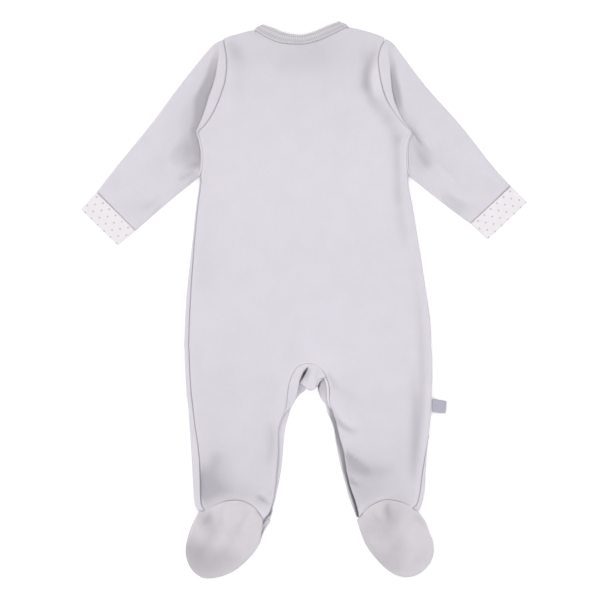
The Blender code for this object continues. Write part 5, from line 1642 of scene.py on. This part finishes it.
def tag_patch():
    """A loop of tape: out along its lower half, round its end, and back over."""
    (root_a, root_b), (end_a, end_b) = np.array(TAG_ROOT), np.array(TAG_END)
    profile = [(s, 0.0) for s in np.linspace(0, 1, 12)[:-1]]
    profile += [(1.0, a) for a in np.linspace(0, math.pi, 13)]
    profile += [(s, math.pi) for s in np.linspace(1, 0, 12)[1:]]
    rows = []
    for share, angle in profile:
        row = []
        for k in np.linspace(0, 1, 17):
            root, end = lerp(root_a, root_b, k), lerp(end_a, end_b, k)
            outward = (end - root) / np.linalg.norm(end - root) * TAG_RADIUS
            spot = lerp(root, end - outward, share) + outward * math.sin(angle)
            wave = 0.12 * math.sin(9.0 * share + 2.0 * k) * share
            row.append((*spot, TAG_LOW + TAG_RADIUS * (1 - math.cos(angle)) + wave))
        rows.append(row)
    spots = np.array(rows)
    return spots, strip_map(spots)


# ------------------------------------------------------------------ stitches


def arch_stitch_row(side):
    """The row of stitches on the back, beside one side of the crotch arch."""
    step = np.gradient(ARCH_RUNS[side], axis=0)
    outward = side * np.column_stack((-step[:, 1], step[:, 0]))
    outward /= np.linalg.norm(outward, axis=1, keepdims=True)
    place = ARCH_RUNS[side] + outward * ARCH_STITCH_INSET
    z = LAY_HEIGHT + back_relief(side, place[:, 0], place[:, 1], True)[0] + STITCH_LIFT
    return raised(place, z), upright(len(place))


def cuff_stitch_row(side):
    """The row of stitches on the sleeve, beside its cuff."""
    lines, _, root, below = sleeve_plan(side)
    line = lerp(lines[-1][2], lines[-2][2], 0.4)[2:-2]
    z = sleeve_heights(side, "sleeve", 1.0, line, root[2:-2], below)[0] + STITCH_LIFT
    return raised(line, z), upright(len(line))


def sew(name, rows):
    """Rows of small raised stitches along lines that lie on the cloth."""
    sizes = bpy.context.scene.sleepsuit_sizes
    bm = bmesh.new()
    pitch, length, width = sizes.stitch / MM, STITCH_SHARE * sizes.stitch / MM, sizes.thread / MM
    for line, normal in rows:
        gone = lengths_of(line)
        for start in np.arange(0.5 * pitch, gone[-1] - 0.5 * pitch, pitch):
            middle = Vector([np.interp(start, gone, line[:, k]) for k in range(3)])
            ahead = Vector([np.interp(start + 0.5, gone, line[:, k]) for k in range(3)])
            up = Vector([np.interp(start, gone, normal[:, k]) for k in range(3)])
            forward = (ahead - middle).normalized()
            sideways = up.cross(forward).normalized()
            up = forward.cross(sideways)
            turn = Matrix((forward, sideways, up)).transposed().to_4x4()
            size = Matrix.Diagonal((length / 2, width / 2, width / 2.4, 1.0))
            place = Matrix.Translation(middle * MM) @ turn @ size @ Matrix.Scale(MM, 4)
            bmesh.ops.create_uvsphere(bm, u_segments=6, v_segments=5, radius=1.0, matrix=place)
    piece = add_object(name, bm, finish_of("sewing_thread"))
    piece.data.shade_smooth()
    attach(piece, "root")


# ------------------------------------------------------------------ finishes


class Value:
    """A socket of a finish that can be used in sums, as a number is."""

    def __init__(self, finish, socket):
        self.finish = finish
        self.socket = socket

    def math(self, operation, other=None, first=None):
        inputs = {0: self if first is None else first}
        if other is not None:
            inputs[1] = other
        return self.finish.node("ShaderNodeMath", {"operation": operation}, inputs)

    def __add__(self, other):
        return self.math("ADD", other)

    def __sub__(self, other):
        return self.math("SUBTRACT", other)

    def __rsub__(self, other):
        return self.math("SUBTRACT", self, first=other)

    def __mul__(self, other):
        return self.math("MULTIPLY", other)

    def __truediv__(self, other):
        return self.math("DIVIDE", other)

    __radd__ = __add__
    __rmul__ = __mul__

    def ramp(self, low, high):
        """0 up to low and 1 from high on, or the other way round, with soft ends."""
        settings = {"interpolation_type": "SMOOTHSTEP"}
        inputs = {"Value": self, "From Min": low, "From Max": high}
        return self.finish.node("ShaderNodeMapRange", settings, inputs)


class Finish:
    """One material: a Principled shader, and the nodes that vary it over the surface."""

    def __init__(self, name, **constants):
        self.material = bpy.data.materials.new(name)
        self.material.use_nodes = True
        self.tree = self.material.node_tree
        self.shader = self.tree.nodes["Principled BSDF"]
        for socket, value in constants.items():
            self.shader.inputs[socket.replace("_", " ")].default_value = value

    def node(self, kind, settings, inputs, output=0):
        """Adds a node with its settings, and the values or links of its sockets."""
        node = self.tree.nodes.new(kind)
        for name, value in settings.items():
            setattr(node, name, value)
        for name, value in inputs.items():
            self.feed(node.inputs[name], value)
        return Value(self, node.outputs[output])

    def feed(self, socket, value):
        if isinstance(value, Value):
            self.tree.links.new(value.socket, socket)
        else:
            socket.default_value = value

    def cloth(self):
        """The cloth coordinates u and v, in metres."""
        uv = self.node("ShaderNodeUVMap", {"uv_map": "cloth"}, {})
        return [self.node("ShaderNodeSeparateXYZ", {}, {0: uv}, k) for k in (0, 1)]

    def noise(self, size, detail=2.0, stretch=(1.0, 1.0, 1.0)):
        """Smooth random values over the piece, for features of a size in metres."""
        place = self.node("ShaderNodeTexCoord", {}, {}, "Object")
        place = self.node("ShaderNodeVectorMath", {"operation": "MULTIPLY"}, {0: place, 1: stretch})
        inputs = {"Vector": place, "Scale": 1.0 / size, "Detail": detail, "Roughness": 0.55}
        return self.node("ShaderNodeTexNoise", {}, inputs)

    def mix(self, factor, a, b):
        return self.node("ShaderNodeMix", {"data_type": "RGBA"}, {0: factor, 6: a, 7: b}, 2)

    def finish(self, colour, height, depth):
        """Feeds the shader its colour and its surface, and gives the material."""
        bump = self.node("ShaderNodeBump", {}, {"Height": height, "Distance": depth, "Strength": 1.0})
        self.feed(self.shader.inputs["Base Color"], colour)
        self.feed(self.shader.inputs["Normal"], bump)
        return self.material


def shade(colour, amount):
    """A colour made lighter or darker by a share."""
    return tuple(min(channel * amount, 1.0) for channel in colour[:3]) + (1.0,)


def knit_height(u, v, wale, course):
    """The rows of small V stitches on the face of a knitted cloth, 0 to 1."""
    side = ((u / wale).math("FRACT") - 0.5).math("ABSOLUTE") * 2.0
    leg = (v / course + side * 0.5) * (2 * math.pi)
    rise = side * 2.0 - 1.0
    return (1.0 - rise * rise) * (leg.math("COSINE") * 0.25 + 0.75)


def interlock(name, colour, wale, course, nap):
    """Brushed interlock: fine V stitches under a soft nap, faintly uneven in colour."""
    finish = Finish(
        name, Roughness=0.92, Sheen_Weight=0.18, Sheen_Roughness=0.55, Specular_IOR_Level=0.18,
    )
    u, v = finish.cloth()
    stitches = knit_height(u, v, wale, course)
    clouds, flecks = finish.noise(0.024, 3.0), finish.noise(0.0016, 2.0, (1.0, 0.35, 1.0))
    fibre = finish.noise(0.00035, 1.0)
    # The stitches also darken the colour in the knit's grooves: painted shade
    tone = clouds * 0.55 + flecks * 0.3 + stitches * 0.25 + fibre * 0.12 - 0.11
    tinted = finish.mix(tone.ramp(0.2, 0.8), shade(colour, 0.965), shade(colour, 1.03))
    # The attribute read here is painted light and shade: painted shade up to 1, painted full shadow above 1,
    # and a painted highlight below 0
    pressed = finish.node("ShaderNodeAttribute", {"attribute_name": "pressed"}, {}, 2)
    tinted = finish.mix(pressed, tinted, shade(colour, PAINTED_SHADE_TONE))
    tinted = finish.mix(pressed - 1.0, tinted, shade(colour, PAINTED_SHADOW_TONE))
    tinted = finish.mix(pressed * -1.0, tinted, shade(colour, PAINTED_HIGHLIGHT_TONE))
    height = stitches * (1.0 - nap) + fibre * nap + flecks * 0.35
    return finish.finish(tinted, height, 0.00022)


def ribbed(name, colour, wale, course):
    """One-by-one rib: columns of stitches across the binding, with painted shade in its grooves."""
    finish = Finish(
        name, Roughness=0.9, Sheen_Weight=0.15, Sheen_Roughness=0.5, Specular_IOR_Level=0.18,
    )
    u, v = finish.cloth()
    groove = ((u / wale).math("FRACT") - 0.5).math("ABSOLUTE") * 2.0
    stitches = knit_height(u, v, wale, course)
    fibre = finish.noise(0.0004, 1.0)
    # The grooves between the ribs are darkened in the colour: painted shade
    tone = (1.0 - groove.ramp(0.55, 1.0)) * 0.7 + fibre * 0.3
    tinted = finish.mix(tone, shade(colour, 0.68), shade(colour, 1.08))
    # The attribute adds painted shade along the rows of stitches
    pressed = finish.node("ShaderNodeAttribute", {"attribute_name": "pressed"}, {}, 2)
    tinted = finish.mix(pressed, tinted, shade(colour, PAINTED_SHADE_TONE))
    return finish.finish(tinted, stitches + fibre * 0.4, 0.00025)


def dotted(name, colour, dot_colour, dot, pitch, row):
    """Fine jersey printed with small dots in staggered rows."""
    finish = Finish(
        name, Roughness=0.88, Sheen_Weight=0.12, Sheen_Roughness=0.5, Specular_IOR_Level=0.18,
    )
    u, v = finish.cloth()
    lines = v / row
    odd = (lines * 0.5).math("FRACT").math("GREATER_THAN", 0.5)
    du = ((u / pitch + odd * 0.5).math("FRACT") - 0.5) * pitch
    dv = (lines.math("FRACT") - 0.5) * row
    wobble = (finish.noise(0.0007, 1.0) - 0.5) * (0.35 * dot)
    away = (du * du + dv * dv).math("SQRT") + wobble
    print_mask = away.ramp(0.56 * dot, 0.44 * dot)
    stitches = knit_height(u, v, 0.0008, 0.0007)
    fibre = finish.noise(0.0004, 1.0)
    # The stitches darken the colour a little in the knit's grooves: painted shade
    tone = finish.noise(0.015, 2.0) * 0.6 + fibre * 0.2 + stitches * 0.2
    ground = finish.mix(tone, shade(colour, 0.96), shade(colour, 1.03))
    inked = finish.mix(print_mask * 0.9, ground, shade(dot_colour, 1.0))
    return finish.finish(inked, stitches * 0.7 + fibre * 0.5, 0.00016)


def woven_tape(name, colour, pick):
    """Plain woven tape: fine threads over and under each other."""
    finish = Finish(
        name, Roughness=0.7, Sheen_Weight=0.1, Sheen_Roughness=0.4, Specular_IOR_Level=0.35,
    )
    u, v = finish.cloth()
    warp = (u * (math.pi / pick)).math("SINE").math("ABSOLUTE")
    weft = (v * (math.pi / pick)).math("SINE").math("ABSOLUTE")
    turn = (u / pick).math("FLOOR") + (v / pick).math("FLOOR")
    over = (turn * 0.5).math("FRACT").math("GREATER_THAN", 0.25)
    height = over * warp + (1.0 - over) * weft
    # The threads are darker where they dip under: painted shade
    tone = height * 0.8 + finish.noise(0.002, 2.0) * 0.2
    tinted = finish.mix(tone, shade(colour, 0.88), shade(colour, 1.06))
    return finish.finish(tinted, height, 0.00012)


def thread(name, colour):
    """Spun sewing thread with a faint twist."""
    finish = Finish(
        name, Roughness=0.6, Sheen_Weight=0.1, Sheen_Roughness=0.4, Specular_IOR_Level=0.35,
    )
    fibre = finish.noise(0.0003, 1.0)
    tinted = finish.mix(fibre, shade(colour, 0.93), shade(colour, 1.05))
    return finish.finish(tinted, fibre, 0.00005)


def finish_of(slot):
    """A finish by the record's slot name, made once from the panel's colours and sizes."""
    name = slot + "_finish"
    if name in bpy.data.materials:
        return bpy.data.materials[name]
    colours = bpy.context.scene.sleepsuit_colours
    sizes = bpy.context.scene.sleepsuit_sizes
    dots = (sizes.dot, sizes.dot_pitch, sizes.dot_row)
    makers = {
        INTERLOCK: (interlock, colours.body, sizes.wale, sizes.course, 0.35),
        "sole_interlock": (interlock, colours.sole, sizes.wale, sizes.course, 0.45),
        "ribbed_binding": (ribbed, colours.binding, sizes.rib, sizes.course),
        "dotted_cuff_cotton": (dotted, colours.cuff, colours.dot, *dots),
        "tag_tape": (woven_tape, colours.tag, 0.0004),
        "sewing_thread": (thread, colours.thread),
    }
    maker, *values = makers[slot]
    return maker(name, *values)


# ------------------------------------------------------------------ panel properties


def length_property(name, description, default, low, high=50.0):
    """A length on the panel, given in millimetres."""
    return FloatProperty(
        name=name, description=description, default=default * MM, min=low * MM, max=high * MM, unit="LENGTH",
    )


class SleepsuitSizes(bpy.types.PropertyGroup):
    """Walls of the cloth, and the sizes of its stitches and print."""

    body_wall: length_property("Body cloth", "Thickness of the interlock", 1.05, 0.5, 1.3)
    cuff_wall: length_property("Cuff cloth", "Thickness of one layer of the cuffs", 0.6, 0.3, 0.8)
    band_thickness: length_property("Folded bands", "Thickness of the folded leg bands", 1.9, 1.0, 2.0)
    binding_thickness: length_property("Neck binding", "Thickness of the folded neck binding", 1.8, 1.0, 2.2)
    tape_wall: length_property("Tag tape", "Thickness of the side tag's tape", 0.6, 0.3, 1.0)
    wale: length_property("Wale", "Width of one column of stitches in the interlock", 0.85, 0.4)
    course: length_property("Course", "Height of one row of stitches", 0.75, 0.4)
    rib: length_property("Rib", "Width of one rib of the neck binding", 2.1, 0.8)
    dot: length_property("Dot", "Diameter of the printed dots", 2.0, 0.5)
    dot_pitch: length_property("Dot pitch", "Distance between dots along a row", 9.2, 2.0)
    dot_row: length_property("Dot rows", "Distance between the rows of dots", 6.7, 2.0)
    stitch: length_property("Stitch", "Length of one sewn stitch", 2.4, 1.0)
    thread: length_property("Thread", "Diameter of the sewing thread", 0.55, 0.1)


def colour_property(name, description, default):
    return FloatVectorProperty(
        name=name, description=description, subtype="COLOR", size=4, min=0, max=1, default=default + (1.0,)
    )


class SleepsuitColours(bpy.types.PropertyGroup):
    """Colours of the cloths and threads."""

    body: colour_property("Body", "Pale lilac grey of the interlock", (0.735, 0.703, 0.767))
    # The soles are the body's cloth but set a little darker; part of this darkness is painted shade
    sole: colour_property("Soles", "The greyer interlock of the soles", (0.675, 0.645, 0.69))
    binding: colour_property("Neck binding", "Rib of the neck binding", (0.675, 0.65, 0.695))
    cuff: colour_property("Cuffs", "Ground of the cuff cloth", (0.86, 0.82, 0.85))
    dot: colour_property("Dots", "Printed dots on the cuffs", (0.55, 0.51, 0.55))
    tag: colour_property("Side tag", "Tape of the side tag", (0.51, 0.49, 0.585))
    thread: colour_property("Thread", "Sewing thread", (0.75, 0.72, 0.77))


# ------------------------------------------------------------------ pieces


class SLEEPSUIT_OT_body(bpy.types.Operator):
    """Lay the back over the two lapped halves of the front"""

    bl_idname = "sleepsuit.body"
    bl_label = "Body panels"

    def execute(self, context):
        wall = context.scene.sleepsuit_sizes.body_wall
        front_rows = (("torso", FRONT_TORSO_ROWS), ("legs", FRONT_LEG_ROWS))
        back_rows = (("torso", BACK_TORSO_ROWS), ("legs", BACK_LEG_ROWS))
        for side, name in SIDES:
            patches = [front_patch(part, side, count) for part, count in front_rows]
            add_cloth(
                "front_cloth_" + name, "front_" + name, INTERLOCK, patches, wall,
                facing_up=False,
            )
        patches = [back_patch(part, side, count) for part, count in back_rows for side in (-1, 1)]
        add_cloth(
            "back_cloth", "back_panel", INTERLOCK, patches, wall,
        )
        return {"FINISHED"}


class SLEEPSUIT_OT_sleeves(bpy.types.Operator):
    """Lay out both sleeves as flat tubes, each folded under itself beside its armhole"""

    bl_idname = "sleepsuit.sleeves"
    bl_label = "Sleeves"

    def execute(self, context):
        wall = context.scene.sleepsuit_sizes.body_wall
        for side, name in SIDES:
            add_cloth(
                "sleeve_cloth_" + name, "sleeve_" + name, INTERLOCK, [sleeve_patch(side)], wall,
                facing_up=side > 0,
            )
        return {"FINISHED"}


class SLEEPSUIT_OT_cuffs(bpy.types.Operator):
    """Turn back the dotted cuffs, each with a rounded lip at the wrist"""

    bl_idname = "sleepsuit.cuffs"
    bl_label = "Cuffs"

    def execute(self, context):
        wall = context.scene.sleepsuit_sizes.cuff_wall
        for side, name in SIDES:
            add_cloth(
                "cuff_cloth_" + name, "cuff_" + name, "dotted_cuff_cotton", [cuff_patch(side)], wall,
                facing_up=side > 0,
            )
        return {"FINISHED"}


class SLEEPSUIT_OT_feet(bpy.types.Operator):
    """Make the domed soles and the flat foot tops under them"""

    bl_idname = "sleepsuit.feet"
    bl_label = "Feet"

    def execute(self, context):
        wall = context.scene.sleepsuit_sizes.body_wall
        for side, name in SIDES:
            add_cloth(
                "toe_cloth_" + name, "foot_upper_" + name, INTERLOCK, [toe_patch(side)], TOE_WALL * MM,
                facing_up=False,
            )
            add_cloth(
                "sole_cloth_" + name, "sole_" + name, "sole_interlock", [sole_patch(side)], wall,
            )
        return {"FINISHED"}


class SLEEPSUIT_OT_crotch(bpy.types.Operator):
    """Sew the facing band, the tongue and the leg bands into the crotch arch"""

    bl_idname = "sleepsuit.crotch"
    bl_label = "Crotch and leg bands"

    def execute(self, context):
        sizes = context.scene.sleepsuit_sizes
        add_cloth(
            "arch_facing", "crotch_band_back", INTERLOCK, [facing_patch()], FACING_WALL * MM,
        )
        for side, name in SIDES:
            band = leg_band_patch(side, sizes.band_thickness / MM)
            add_cloth(
                "leg_band_" + name, "inseam_band_" + name, INTERLOCK, [band], FACING_WALL * MM,
                facing_up=side > 0,
            )
        add_cloth(
            "crotch_tongue", "crotch_gusset", INTERLOCK, [tongue_patch()], sizes.body_wall,
            facing_up=False,
        )
        return {"FINISHED"}


class SLEEPSUIT_OT_neck(bpy.types.Operator):
    """Bind the neck with a folded rib that runs round the back and the front"""

    bl_idname = "sleepsuit.neck"
    bl_label = "Neck binding"

    def execute(self, context):
        sizes = context.scene.sleepsuit_sizes
        patch = neck_patch(sizes.binding_thickness / MM, sizes.rib / MM, sizes.stitch / MM)
        add_cloth(
            "neck_rib", "neck_binding", "ribbed_binding", [patch], BINDING_WALL * MM,
            facing_up=False,
        )
        return {"FINISHED"}


class SLEEPSUIT_OT_tag(bpy.types.Operator):
    """Fold the bare side tag out of the right side seam"""

    bl_idname = "sleepsuit.tag"
    bl_label = "Side tag"

    def execute(self, context):
        wall = context.scene.sleepsuit_sizes.tape_wall
        add_cloth(
            "side_tape", "side_tag", "tag_tape", [tag_patch()], wall,
            facing_up=False,
        )
        return {"FINISHED"}


class SLEEPSUIT_OT_stitches(bpy.types.Operator):
    """Sew the rows of stitches on the neck binding, the crotch arch and the cuffs"""

    bl_idname = "sleepsuit.stitches"
    bl_label = "Stitches"

    def execute(self, context):
        seam, free, normal = binding_lines()
        rows = [
            (lerp(seam, free, share) + normal * (0.16 + 0.25 * math.sin(math.pi * share)), normal)
            for share in STITCH_ROWS
        ]
        sew("neck_stitches", rows)
        sew("arch_stitches", [arch_stitch_row(side) for side in (-1, 1)])
        for side, name in SIDES:
            sew("cuff_stitches_" + name, [cuff_stitch_row(side)])
        loop = raised(run_of(LOOSE_THREAD), LAY_HEIGHT + THREAD_LIFT)
        sew("underarm_thread", [(loop, upright(len(loop)))])
        return {"FINISHED"}


class SLEEPSUIT_OT_stage(bpy.types.Operator):
    """Set up the pale floor, the soft lights and the camera straight above"""

    bl_idname = "sleepsuit.stage"
    bl_label = "Stage"

    def execute(self, context):
        scene = context.scene
        finish = Finish(
            "floor_paper", Roughness=0.9, Specular_IOR_Level=0.1,
            Emission_Color=(1.0, 1.0, 1.0, 1.0), Emission_Strength=0.2,
        )
        grain = finish.noise(0.004, 3.0)
        pale = finish.mix(grain, (0.90, 0.90, 0.90, 1.0), (0.92, 0.92, 0.92, 1.0))
        bm = bmesh.new()
        down = Matrix.Translation((0.0, 0.0, -FLOOR_DROP))
        bmesh.ops.create_grid(bm, x_segments=1, y_segments=1, size=4.0, matrix=down)
        floor = add_object("floor", bm, finish.finish(pale, grain, 0.00001))

        world = bpy.data.worlds.new("studio")
        scene.world = world
        world.use_nodes = True
        background = world.node_tree.nodes["Background"].inputs
        background["Color"].default_value = (1.0, 1.0, 1.0, 1.0)
        background["Strength"].default_value = 0.44
        softbox = bpy.data.lights.new("softbox", "AREA")
        softbox.shape = "DISK"
        softbox.size = 0.8
        softbox.energy = 2.6
        lights = [(softbox, (0.0, -0.03, 1.1))]
        for name, strength, place in SIDE_LIGHTS:
            side_light = bpy.data.lights.new(name, "SUN")
            side_light.angle = math.radians(35)
            side_light.energy = strength
            lights.append((side_light, place))
        for light, place in lights:
            lamp = bpy.data.objects.new(light.name, light)
            lamp.location = place
            lamp.rotation_euler = (-Vector(place)).to_track_quat("-Z", "Y").to_euler()
            lamp.visible_camera = False
            scene.collection.objects.link(lamp)

        lens = bpy.data.cameras.new("camera")
        lens.sensor_width = 36.0
        lens.lens = LENS
        lens.clip_start = 0.05
        camera = bpy.data.objects.new("camera", lens)
        camera.location = CAMERA_PLACE
        scene.collection.objects.link(camera)
        scene.camera = camera
        scene.view_settings.view_transform = "Standard"
        return {"FINISHED"}


class SLEEPSUIT_PT_panel(bpy.types.Panel):
    """Lists the sleepsuit's pieces, sizes and colours"""

    bl_label = "Baby sleepsuit"
    bl_idname = "SLEEPSUIT_PT_panel"
    bl_space_type = "VIEW_3D"
    bl_region_type = "UI"
    bl_category = "Sleepsuit"

    def draw(self, context):
        layout = self.layout
        for operator in OPERATORS:
            layout.operator(operator.bl_idname)
        for group in (context.scene.sleepsuit_sizes, context.scene.sleepsuit_colours):
            box = layout.box()
            for name in group.bl_rna.properties.keys():
                if name not in ("rna_type", "name"):
                    box.prop(group, name)


OPERATORS = (
    SLEEPSUIT_OT_body,
    SLEEPSUIT_OT_sleeves,
    SLEEPSUIT_OT_cuffs,
    SLEEPSUIT_OT_feet,
    SLEEPSUIT_OT_crotch,
    SLEEPSUIT_OT_neck,
    SLEEPSUIT_OT_tag,
    SLEEPSUIT_OT_stitches,
    SLEEPSUIT_OT_stage,
)
CLASSES = (SleepsuitSizes, SleepsuitColours) + OPERATORS + (SLEEPSUIT_PT_panel,)


def register():
    for item in CLASSES:
        bpy.utils.register_class(item)
    bpy.types.Scene.sleepsuit_sizes = PointerProperty(type=SleepsuitSizes)
    bpy.types.Scene.sleepsuit_colours = PointerProperty(type=SleepsuitColours)


def unregister():
    del bpy.types.Scene.sleepsuit_colours
    del bpy.types.Scene.sleepsuit_sizes
    for item in reversed(CLASSES):
        bpy.utils.unregister_class(item)


def main():
    register()
    for operator in OPERATORS:
        group, name = operator.bl_idname.split(".")
        getattr(getattr(bpy.ops, group), name)()


if __name__ == "__main__":
    main()
